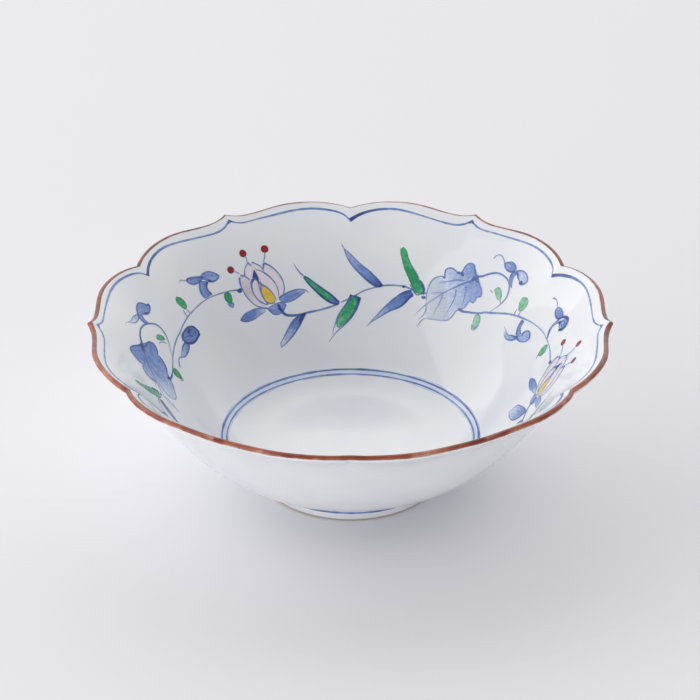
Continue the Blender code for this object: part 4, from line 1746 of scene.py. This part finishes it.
    def last_curl(self) -> None:
        """Paints the tight, dark curl next to the flower."""
        carry = self.turn.carry
        leaf_top = [(69.1, 15.4), (70.0, 14.5), (71.7, 14.4), (73.3, 15.0), (73.9, 15.7)]
        leaf_bottom = [(69.1, 15.4), (69.9, 16.7), (71.4, 17.5), (72.9, 17.2), (73.9, 15.7)]
        self.outlined(
            leaf_top, leaf_bottom, (0.5, 0.6, 0.65), ((0.5, 0.45, 0.45), (0.6, 0.6, 0.75)),
            ((0.45, 0.6, 0.8), (0.6, 0.75, 0.95)),
        )
        self.line(
            [(69.3, 15.3), (68.2, 14.1), (66.6, 13.4), (65.2, 13.8)], (0.4, 0.4, 0.45, 0.6),
            (0.5, 0.4, 0.4, 0.6),
        )
        self.colours.washes.dot(carry([(76.0, 16.9)])[0], 2.1, 0.5)
        outer = [
            (73.6, 16.6), (74.0, 15.5), (75.2, 14.5), (76.6, 14.4), (77.6, 15.4), (77.9, 17.0), (77.3, 18.6),
            (76.3, 19.4),
        ]
        self.line(outer, (0.6, 0.9, 1.0, 0.7, 0.9, 1.1, 0.7), (0.85, 0.95, 0.8, 0.9, 0.95))
        inner = [
            (76.2, 18.9), (75.0, 18.0), (75.2, 16.4), (76.2, 15.8), (76.9, 16.7), (76.3, 17.6), (75.6, 17.2),
        ]
        self.line(inner, (0.4, 0.45, 0.5, 0.45, 0.5, 0.4), (0.6, 0.55, 0.65, 0.7))
        self.line([(74.2, 17.9), (74.6, 17.5), (74.9, 16.8)], (0.9, 1.2, 0.6), (0.95, 0.9))
        stem_left = [(73.5, 16.8), (72.9, 18.8), (72.7, 21.2), (73.4, 23.2), (74.8, 24.7)]
        stem_right = [(74.3, 17.8), (73.5, 19.2), (73.2, 21.0), (73.8, 23.0), (74.8, 24.7)]
        self.outlined(
            stem_left, stem_right, (0.5, 0.4, 0.5), ((0.45, 0.5, 0.55, 0.6), (0.55, 0.55, 0.7, 0.6)),
            ((0.4, 0.35, 0.35), (0.5, 0.45, 0.5)),
        )

    def paint(self) -> None:
        """Paints the whole spray."""
        self.stalks()
        self.small_leaves()
        self.top_curl()
        self.low_curl()
        self.last_curl()


@dataclass
class CurlSprayTwo(CurlSpray):
    """The same spray as the painter drew it the second time, with broader, darker curls."""

    def stalks(self) -> None:
        """Draws the arching stalk and the vine."""
        arch = [
            (38.8, 21.5), (40.3, 19.9), (42.0, 19.0), (44.0, 18.6), (46.0, 19.0), (48.0, 20.0), (49.9, 21.6),
            (51.1, 23.5), (51.5, 25.7), (51.2, 28.2), (50.2, 30.5), (48.9, 32.3), (47.2, 34.3),
        ]
        self.line(arch, (0.9, 0.7, 0.65, 0.65, 0.65, 0.5, 0.2), (0.85, 0.65, 0.6, 0.6, 0.55, 0.4, 0.2))
        vine = [
            (37.0, 36.8), (38.0, 37.8), (40.3, 38.0), (42.7, 37.3), (45.4, 36.1), (48.0, 34.5), (51.0, 33.0),
            (54.7, 31.5), (57.4, 30.7), (60.0, 29.5), (62.4, 28.6), (64.7, 27.8), (68.0, 27.0), (71.4, 26.3),
            (74.7, 25.9), (78.0, 26.1), (81.4, 26.5), (83.7, 26.9), (85.2, 27.3),
        ]
        self.line(
            vine, (1.0, 0.5, 0.55, 0.55, 0.5, 0.45, 0.45, 0.45, 0.55),
            (0.9, 0.45, 0.45, 0.45, 0.4, 0.4, 0.35, 0.4, 0.6),
        )
        self.line([(84.6, 27.1), (85.2, 27.7), (86.2, 27.5)], (0.7, 1.4, 1.1), (0.75, 0.9))

    def small_leaves(self) -> None:
        """Paints the four small leaves."""
        self.small_leaf([(46.4, 25.8), (47.6, 24.8), (49.3, 25.8), (50.1, 27.4), (49.9, 28.7)],
            [(46.4, 25.8), (47.2, 26.9), (48.6, 28.2), (49.9, 28.7)],
            0.55,
            ([(46.0, 27.4), (47.8, 28.1), (49.4, 30.0)],),
        )
        self.small_leaf([(42.8, 37.2), (41.8, 38.6), (42.3, 40.6), (43.4, 42.4)],
            [(42.8, 37.2), (44.6, 37.4), (45.2, 39.6), (44.6, 41.7), (43.4, 42.4)],
            0.62,
            ([(42.4, 41.4), (43.4, 42.8), (44.4, 42.0)],),
        )
        self.small_leaf([(64.2, 19.6), (63.2, 20.6), (63.2, 22.2), (63.9, 24.3), (64.9, 25.6)],
            [(64.2, 19.6), (65.5, 20.8), (66.2, 22.9), (65.9, 24.9), (64.9, 25.6)],
            0.6,
            ([(63.8, 24.8), (63.8, 26.6), (63.9, 28.2)], [(65.1, 25.4), (65.4, 26.6), (65.3, 27.6)]),
        )
        self.small_leaf([(80.9, 26.2), (79.9, 27.0), (79.5, 28.6), (79.9, 30.2), (81.0, 31.1)],
            [(80.9, 26.2), (82.1, 27.2), (82.3, 28.6), (81.9, 30.2), (81.0, 31.1)],
            0.65,
            (),
        )
        self.fill(self.colours.washes, [(79.8, 30.3), (80.2, 31.6), (81.0, 32.8)], [
            (81.8, 30.6), (81.9, 31.6), (81.0, 32.8),
        ],
            (0.6, 0.5),
        )

    def top_curl(self) -> None:
        """Paints the curl that springs from the arch's top."""
        tail_top = [(47.0, 14.8), (44.7, 14.0), (42.7, 14.0), (41.2, 13.4), (39.8, 12.5), (38.6, 12.8)]
        tail_bottom = [(47.0, 14.8), (46.0, 15.9), (44.0, 16.0), (42.3, 14.8), (41.0, 13.5)]
        self.fill(self.colours.washes, tail_top[:4], [*tail_bottom[:4], (41.2, 13.4)], (0.4, 0.25, 0.2))
        self.line(tail_top, (0.5, 0.4, 0.4, 0.15), (0.5, 0.3, 0.2, 0.1))
        self.line(tail_bottom, (0.6, 0.55, 0.45, 0.2), (0.6, 0.45, 0.35, 0.2))
        leaf_top = [(46.8, 15.0), (48.2, 13.5), (50.0, 12.7), (51.4, 13.4), (52.4, 15.0), (53.6, 15.8)]
        leaf_bottom = [(46.8, 15.0), (48.3, 16.0), (49.7, 16.9), (51.4, 17.6), (52.8, 17.0), (53.6, 15.8)]
        self.fill(self.colours.washes, leaf_top, leaf_bottom, (0.6, 0.6, 0.6, 0.65))
        self.line(leaf_top, (0.6, 0.6, 0.55, 0.7), (0.8, 0.65, 0.7, 0.9))
        self.line(leaf_bottom[1:], (0.4, 0.9, 0.5, 0.6), (0.6, 0.95, 0.6, 0.8))
        stem_left = [(46.8, 15.0), (46.4, 16.8), (46.8, 18.6), (48.6, 20.6)]
        stem_right = [(48.2, 15.9), (47.7, 17.4), (47.9, 19.0), (48.6, 20.6)]
        self.outlined(
            stem_left, stem_right, (0.65, 0.55, 0.5), ((0.6, 0.6, 0.6, 0.5), (0.75, 0.65, 0.6)),
            ((0.4, 0.45, 0.4), (0.6, 0.55, 0.5)),
        )

    def low_curl(self) -> None:
        """Paints the rolled-up curl below the vine and its trailing leaf."""
        top = [
            (56.8, 34.0), (57.3, 32.5), (58.7, 31.6), (61.4, 31.0), (63.4, 31.6), (64.4, 33.0), (65.0, 35.0),
        ]
        bottom = [(56.8, 34.0), (57.7, 35.2), (59.4, 36.3), (61.4, 36.6), (63.4, 35.9), (65.0, 35.0)]
        self.fill(self.colours.washes, top, bottom, (0.75, 0.72, 0.7, 0.75), columns=14)
        self.lines(
            (top, (0.7, 0.8, 0.6, 0.7, 0.6), (0.95, 0.85, 0.9, 0.95)),
            (bottom, (0.8, 0.8, 0.7, 0.9), (0.95, 0.9, 0.95)),
            ([(59.4, 33.4), (60.9, 34.0), (62.0, 34.9)], (0.4, 0.55, 0.3), (0.85, 0.8)),
            (
                [(60.6, 33.2), (61.2, 32.4), (62.4, 32.2), (63.3, 33.4), (63.9, 34.8)], (1.3, 0.8, 0.4, 0.5),
                (0.95, 0.9, 0.75, 0.9),
            ),
        )
        tail_top = [(57.4, 34.6), (55.4, 34.9), (53.4, 35.9), (51.8, 36.9), (49.9, 36.9)]
        tail_bottom = [(58.2, 35.6), (57.4, 36.8), (55.4, 37.8), (53.4, 38.2), (51.4, 37.4), (49.9, 36.9)]
        self.fill(self.colours.washes, tail_top, tail_bottom, (0.6, 0.5, 0.4, 0.35))
        self.line(tail_top[:4], (0.6, 0.5, 0.3), (0.8, 0.6, 0.35))
        tail = [*tail_bottom[:5], (50.0, 36.9), (48.4, 38.0), (47.2, 39.2)]
        self.line(tail, (0.7, 0.6, 0.5, 0.5, 0.55), (0.8, 0.6, 0.5, 0.4, 0.4))

    def last_curl(self) -> None:
        """Paints the broad, open curl next to the flower."""
        leaf_top = [(70.2, 17.1), (70.9, 16.5), (72.7, 16.8), (74.7, 17.7), (76.0, 18.4)]
        leaf_bottom = [(70.2, 17.1), (71.4, 18.9), (73.0, 19.5), (74.6, 19.2), (76.0, 18.4)]
        self.outlined(
            leaf_top, leaf_bottom, (0.6, 0.55, 0.65), ((0.7, 0.5, 0.5), (0.8, 0.6, 0.8)),
            ((0.4, 0.45, 0.5), (0.55, 0.6, 0.7)),
        )
        self.line(
            [(70.4, 17.1), (69.4, 16.2), (68.4, 15.7), (67.6, 16.1)], (0.4, 0.4, 0.45, 0.2), (0.4, 0.3, 0.15),
        )
        fan_top = [(74.7, 18.2), (76.2, 17.2), (78.2, 17.3), (79.9, 18.7), (81.0, 20.4)]
        fan_bottom = [(74.7, 18.2), (76.8, 20.2), (78.2, 21.2), (79.7, 21.2), (81.0, 20.4)]
        self.fill(self.colours.washes, fan_top, fan_bottom, (0.65, 0.55, 0.5, 0.6))
        self.line(fan_top, (0.4, 0.45, 0.5, 0.5), (0.5, 0.5, 0.6, 0.8))
        self.line(fan_bottom[1:], (0.9, 0.45, 0.4), (0.95, 0.6, 0.7))
        stem_left = [(74.4, 19.0), (73.2, 21.2), (72.8, 23.4), (73.4, 25.8)]
        stem_right = [(76.6, 20.2), (75.6, 21.9), (75.5, 23.5), (76.2, 25.4)]
        self.outlined(
            stem_left, stem_right, (0.65, 0.6, 0.55), ((0.5, 0.5, 0.45), (0.7, 0.6, 0.5)),
            ((0.9, 0.5, 0.5), (0.95, 0.75, 0.7)),
        )


@dataclass
class RimLine:
    """The cobalt line under the lip: one stroke for each lobe, from notch to notch."""

    face: Surface
    lobes: int = 6
    path: tuple[tuple[float, float], ...] = (
        (-0.3, 6.3), (1.6, 4.8), (4.0, 3.9), (7.0, 3.4), (11.0, 3.4), (16.0, 4.2), (22.0, 4.5), (26.0, 4.5),
        (28.4, 4.0), (30.0, 3.2), (32.5, 3.6), (37.0, 3.3), (43.0, 3.6), (50.0, 3.1), (55.0, 3.3),
        (57.6, 3.8), (59.0, 4.8), (60.3, 7.0),
    )
    seed: int = 7
    shift: float = 0.25
    slope: float = 0.008
    width_change: float = 0.15
    dab: Path = ((29.4, 4.0), (30.1, 3.3), (30.7, 3.5))
    widths: tuple[float, ...] = (1.4, 0.95, 0.75, 0.6, 0.6, 0.6, 0.7, 0.62, 0.6, 0.62, 0.65, 0.7, 0.75, 0.5)
    loads: tuple[float, ...] = (
        0.95, 0.8, 0.55, 0.45, 0.4, 0.48, 0.52, 0.42, 0.42, 0.45, 0.48, 0.52, 0.6, 0.45,
    )

    def build(self) -> bpy.types.Object:
        """Draws the six strokes, each a little differently.

        Returns:
            The finished piece.
        """
        layer = PaintLayer("rim_line", Pigment.COBALT_LINE, self.face, 0.05)
        rng = np.random.default_rng(self.seed)
        for lobe in range(self.lobes):
            start = 360 / self.lobes * lobe
            shift = rng.uniform(-self.shift, self.shift)
            slope = rng.uniform(-self.slope, self.slope)
            points = [(start + along, depth + shift + slope * along) for along, depth in self.path]
            least, most = 1 - self.width_change, 1 + self.width_change
            widths = [width * rng.uniform(least, most) for width in self.widths]
            layer.stroke(points, widths, self.loads)
            dab = [(start + along, depth + shift) for along, depth in self.dab]
            layer.stroke(dab, (0.5, 1.1, 0.5), (0.7, 0.85))
        return layer.build()


@dataclass
class LipBand:
    """The iron-brown glaze that a brush, held against the turning lip, laid on its crown."""

    form: BowlForm
    inside: Path = (
        (-180, 2.1), (-150, 2.2), (-120, 2.3), (-92, 2.1), (-88, 2.4), (-65, 2.2), (-58, 1.9), (-45, 1.8),
        (-30, 1.6), (0, 1.55), (30, 1.6), (50, 1.8), (58, 2.4), (61, 1.5), (75, 1.6), (87, 1.9), (90, 1.4),
        (93, 2.7), (98, 2.6), (103, 2.1), (118, 2.2), (122, 1.8), (150, 2.0), (180, 2.1),
    )
    outside: float = 0.75
    steps: int = 1440
    columns: int = 18
    inner_wander: float = 0.1
    outer_wander: float = 0.12
    load: float = 0.64
    load_change: float = 0.14
    pool_load: float = 0.25
    least_load: float = 0.35
    # more load, so a darker brown, along the band's inside edge than along its outside
    lean: float = 0.35
    pools: Path = ((-151.0, 0.9), (-60.0, 1.2), (60.0, 1.4), (95.0, 2.2), (152.0, 3.0), (178.0, 3.5))

    def build(self) -> bpy.types.Object:
        """Lays the glaze over the lip, wider and narrower by turns.

        Returns:
            The finished piece.
        """
        layer = PaintLayer("rim_band_glaze", Pigment.IRON_BROWN, Lip(self.form), 0.02, swell=0.03)
        bearing = np.linspace(-180, 180, self.steps + 1)
        turn = np.radians(bearing)
        drawn = np.array(self.inside)
        inner = np.interp(bearing, drawn[:, 0], drawn[:, 1])
        inner = inner + self.inner_wander * waves(turn, 21, (4, 7, 12, 25))
        outer = self.outside + self.outer_wander * waves(turn, 22, (2, 5, 11, 23))
        load = self.load + self.load_change * waves(turn, 23, (2, 3, 8, 17, 31))
        for place, reach in self.pools:
            load += self.pool_load * np.exp(-(((bearing - place) / reach) ** 2))
        left = np.stack([bearing, -inner], -1)
        right = np.stack([bearing, outer], -1)
        loads = list(np.clip(load, self.least_load, 1.0))
        layer.film(left, right, loads, self.columns, closed=True, lean=self.lean)
        piece = layer.build()
        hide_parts("rim_band")
        return piece


@dataclass
class Decoration:
    """Everything painted on the bowl."""

    form: BowlForm
    turns: tuple[float, float, float] = (0.0, 120.0, -120.0)
    rings: tuple[float, float] = (44.8, 43.1)  # radii of the double ring round the well
    foot_line_depth: float = 4.35
    second_tips: Path = ((-37.3, 19.4), (-30.1, 13.1), (-23.4, 15.6))
    second_hanging_leaf: tuple[Path, Path] = (
        ((-20.7, 41.2), (-24.5, 42.6), (-27.8, 44.3), (-31.0, 46.5), (-31.6, 50.3)),
        ((-20.7, 41.2), (-21.5, 44.5), (-23.5, 47.8), (-27.5, 49.8), (-31.6, 50.3)),
    )

    def build(self) -> None:
        """Paints the vine's three repeats, the lines and the lip."""
        wall = InnerWall(self.form)
        for number, bearing in enumerate(self.turns):
            paint = Palette.on(wall, f"_{number + 1}")
            turn = Turn(bearing, sway=0.0 if number == 0 else 0.25, seed=number + 3)
            flower = LotusFlower(turn, paint)
            if number == 1:
                flower = LotusFlower(turn, paint, tips=self.second_tips)
            flower.paint()
            leaves = LongLeaves(turn, paint)
            if number == 1:
                leaves = LongLeaves(turn, paint, *self.second_hanging_leaf)
            leaves.paint()
            if number < 2:
                BroadLeaf(turn, paint).paint()
                CurlSpray(turn, paint).paint()
            else:
                BroadLeafTwo(Turn(bearing), paint).paint()
                CurlSprayTwo(Turn(bearing), paint).paint()
            paint.build()
        RimLine(wall).build()
        self.well_rings(wall)
        self.foot_line()
        LipBand(self.form).build()

    def well_rings(self, wall: InnerWall) -> None:
        """Draws the double ring round the well, with a thin wash between its lines.

        Args:
            wall: The inside of the bowl.
        """
        tint = PaintLayer("well_ring_wash", Pigment.COBALT_TINT, wall, 0.02)
        lines = PaintLayer("well_rings", Pigment.COBALT_LINE, wall, 0.05)
        outer, inner = wall.depth_of(self.rings[0]), wall.depth_of(self.rings[1])
        tint.ring((outer + inner) / 2, inner - outer + 1.4, 41, (0.4, 0.6))
        lines.ring(outer, 0.9, 42, (0.45, 0.7))
        lines.ring(inner, 0.8, 44, (0.4, 0.65))
        tint.build()
        lines.build()

    def foot_line(self) -> None:
        """Draws the single line round the foot."""
        layer = PaintLayer("foot_line", Pigment.COBALT_LINE, FootSide(self.form), 0.04)
        layer.ring(self.foot_line_depth, 1.0, 51, (0.45, 0.7))
        layer.build()


# ---------------------------------------------------------------------------- the studio


@dataclass(frozen=True)
class Viewpoint:
    """A long lens that looks down at the bowl from the front."""

    distance: float = 1.6867
    elevation: float = 31.39
    aside: float = 0.00262
    yaw: float = 0.094
    pitch: float = 1.476
    roll: float = 0.026
    lens: float = 247.17
    sensor: float = 36.0
    farthest: float = 50.0

    def build(self) -> None:
        """Makes the scene's camera."""
        data = bpy.data.cameras.new("camera")
        data.lens = self.lens
        data.sensor_width = self.sensor
        data.clip_end = self.farthest
        camera = bpy.data.objects.new("camera", data)
        rise = math.radians(self.elevation)
        right = Vector((1, 0, 0))
        forward = Vector((0, math.cos(rise), -math.sin(rise)))
        up = Vector((0, math.sin(rise), math.cos(rise)))
        turn = Matrix.Rotation(math.radians(self.yaw), 3, up)
        right, forward = turn @ right, turn @ forward
        turn = Matrix.Rotation(math.radians(self.pitch), 3, right)
        forward, up = turn @ forward, turn @ up
        turn = Matrix.Rotation(math.radians(self.roll), 3, forward)
        right, up = turn @ right, turn @ up
        frame = Matrix((right, up, -forward)).transposed().to_4x4()
        frame.translation = (self.aside, -self.distance * math.cos(rise), self.distance * math.sin(rise))
        camera.matrix_world = frame
        bpy.context.scene.collection.objects.link(camera)
        bpy.context.scene.camera = camera


@dataclass(frozen=True)
class Softbox:
    """A large, even, diffused lamp."""

    name: str
    place: tuple[float, float, float]
    aim: tuple[float, float, float]
    size: tuple[float, float]
    power: float

    def build(self) -> None:
        """Adds the lamp."""
        data = bpy.data.lights.new(self.name, "AREA")
        data.shape = "RECTANGLE"
        data.size, data.size_y = self.size
        data.energy = self.power
        lamp = bpy.data.objects.new(self.name, data)
        lamp.location = self.place
        lamp.rotation_euler = (Vector(self.aim) - Vector(self.place)).to_track_quat("-Z", "Y").to_euler()
        bpy.context.scene.collection.objects.link(lamp)


@dataclass(frozen=True)
class LightTent:
    """The white cloth tent round the table: how brightly each side of it glows."""

    cloth: str = "FFFFFF"
    everywhere: float = 0.41
    low: float = 0.16
    low_front: float = 1.3
    high_back: float = 1.6
    skirt: float = 0.45

    def build(self) -> None:
        """Makes the tent as the scene's world."""
        world = bpy.data.worlds.new("light_tent")
        world.use_nodes = True
        tree = world.node_tree
        towards = add_node(tree, "ShaderNodeTexCoord").outputs["Generated"]
        _, y, z = add_node(tree, "ShaderNodeSeparateXYZ", {"Vector": towards}).outputs
        near_floor = self.fade(tree, z, self.skirt, 0.0)
        overhead = self.fade(tree, z, 0.0, self.skirt)
        front = self.fade(tree, y, 0.0, -1.0)
        back = self.fade(tree, y, 0.0, 1.0)
        skirt = self.multiply_add(tree, front, self.low_front, self.low)
        roof = self.multiply_add(tree, back, self.high_back, 0.0)
        glow = self.multiply_add(tree, near_floor, skirt, self.everywhere)
        glow = self.multiply_add(tree, overhead, roof, glow)
        tree.nodes["Background"].inputs["Color"].default_value = linear(self.cloth)
        tree.links.new(glow, tree.nodes["Background"].inputs["Strength"])
        bpy.context.scene.world = world

    @staticmethod
    def fade(tree: Tree, value: Socket, dark: float, bright: float) -> Socket:
        """Adds a ramp from 0 to 1.

        Args:
            tree: The node tree to add to.
            value: What the ramp follows.
            dark: The value at which it is 0.
            bright: The value at which it is 1.

        Returns:
            The ramp's socket.
        """
        low, high = min(dark, bright), max(dark, bright)
        ends = {"To Min": float(low == bright), "To Max": float(high == bright)}
        ramp = add_node(
            tree, "ShaderNodeMapRange", {"Value": value, "From Min": low, "From Max": high, **ends},
        )
        return ramp.outputs["Result"]

    @staticmethod
    def multiply_add(tree: Tree, value: Socket, factor: Socket | float, extra: Socket | float) -> Socket:
        """Adds value times factor plus extra, each a socket or a fixed number."""
        node = add_node(tree, "ShaderNodeMath", {0: value, 1: factor, 2: extra}, operation="MULTIPLY_ADD")
        return node.outputs[0]


@dataclass(frozen=True)
class Studio:
    """A plain pale floor inside a light tent, and the softboxes that stand in it."""

    floor_colour: str = "F3F2F5"
    floor_fleck: str = "F1F0F4"
    floor_size: float = 8.0
    tooth_size: float = 1.1111
    floor_roughness: float = 0.9
    floor_specular: float = 0.1
    tent: LightTent = LightTent()
    boxes: tuple[Softbox, ...] = (
        Softbox("left_softbox", (-1.87, 0.26, 1.48), (0.0, 0.0, 0.0), (3.6, 1.4), 18.0),
        Softbox("front_left_softbox", (-2.1, -1.5, 0.55), (0.0, 0.0, 0.05), (2.0, 1.1), 10.0),
    )

    def floor(self) -> None:
        """Lays the floor, in matt painted board."""
        mesh = bmesh.new()
        bmesh.ops.create_grid(mesh, x_segments=4, y_segments=4, size=self.floor_size / 2)
        data = bpy.data.meshes.new("floor")
        mesh.to_mesh(data)
        mesh.free()
        material, tree = new_tree("matt_painted_board")
        tooth = add_node(
            tree, "ShaderNodeTexNoise",
            {"Vector": object_point(tree), "Scale": 1 / (self.tooth_size * MM), "Detail": 2.0},
        )
        colour = mix_colours(tree, tooth.outputs["Fac"], linear(self.floor_colour), linear(self.floor_fleck))
        shader = add_node(
            tree, "ShaderNodeBsdfPrincipled", {"Base Color": colour, "Roughness": self.floor_roughness},
        )
        shader.inputs["Specular IOR Level"].default_value = self.floor_specular
        add_node(tree, "ShaderNodeOutputMaterial", {"Surface": shader.outputs["BSDF"]})
        data.materials.append(material)
        piece = bpy.data.objects.new("floor", data)
        bpy.context.scene.collection.objects.link(piece)

    def build(self) -> None:
        """Sets up the floor, the tent, the lamps and the film response."""
        self.floor()
        self.tent.build()
        for box in self.boxes:
            box.build()
        bpy.context.scene.view_settings.view_transform = "Standard"


def main() -> None:
    """Builds the bowl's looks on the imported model."""
    logging.basicConfig(level=logging.INFO, format="%(name)s: %(message)s")
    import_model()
    form = BowlForm()
    glaze = ClearGlaze().material()
    PorcelainBody(form).build(glaze)
    FootRing(form).build(glaze, BareFoot().material())
    Decoration(form).build()
    Studio().build()
    Viewpoint().build()


if __name__ == "__main__":
    main()
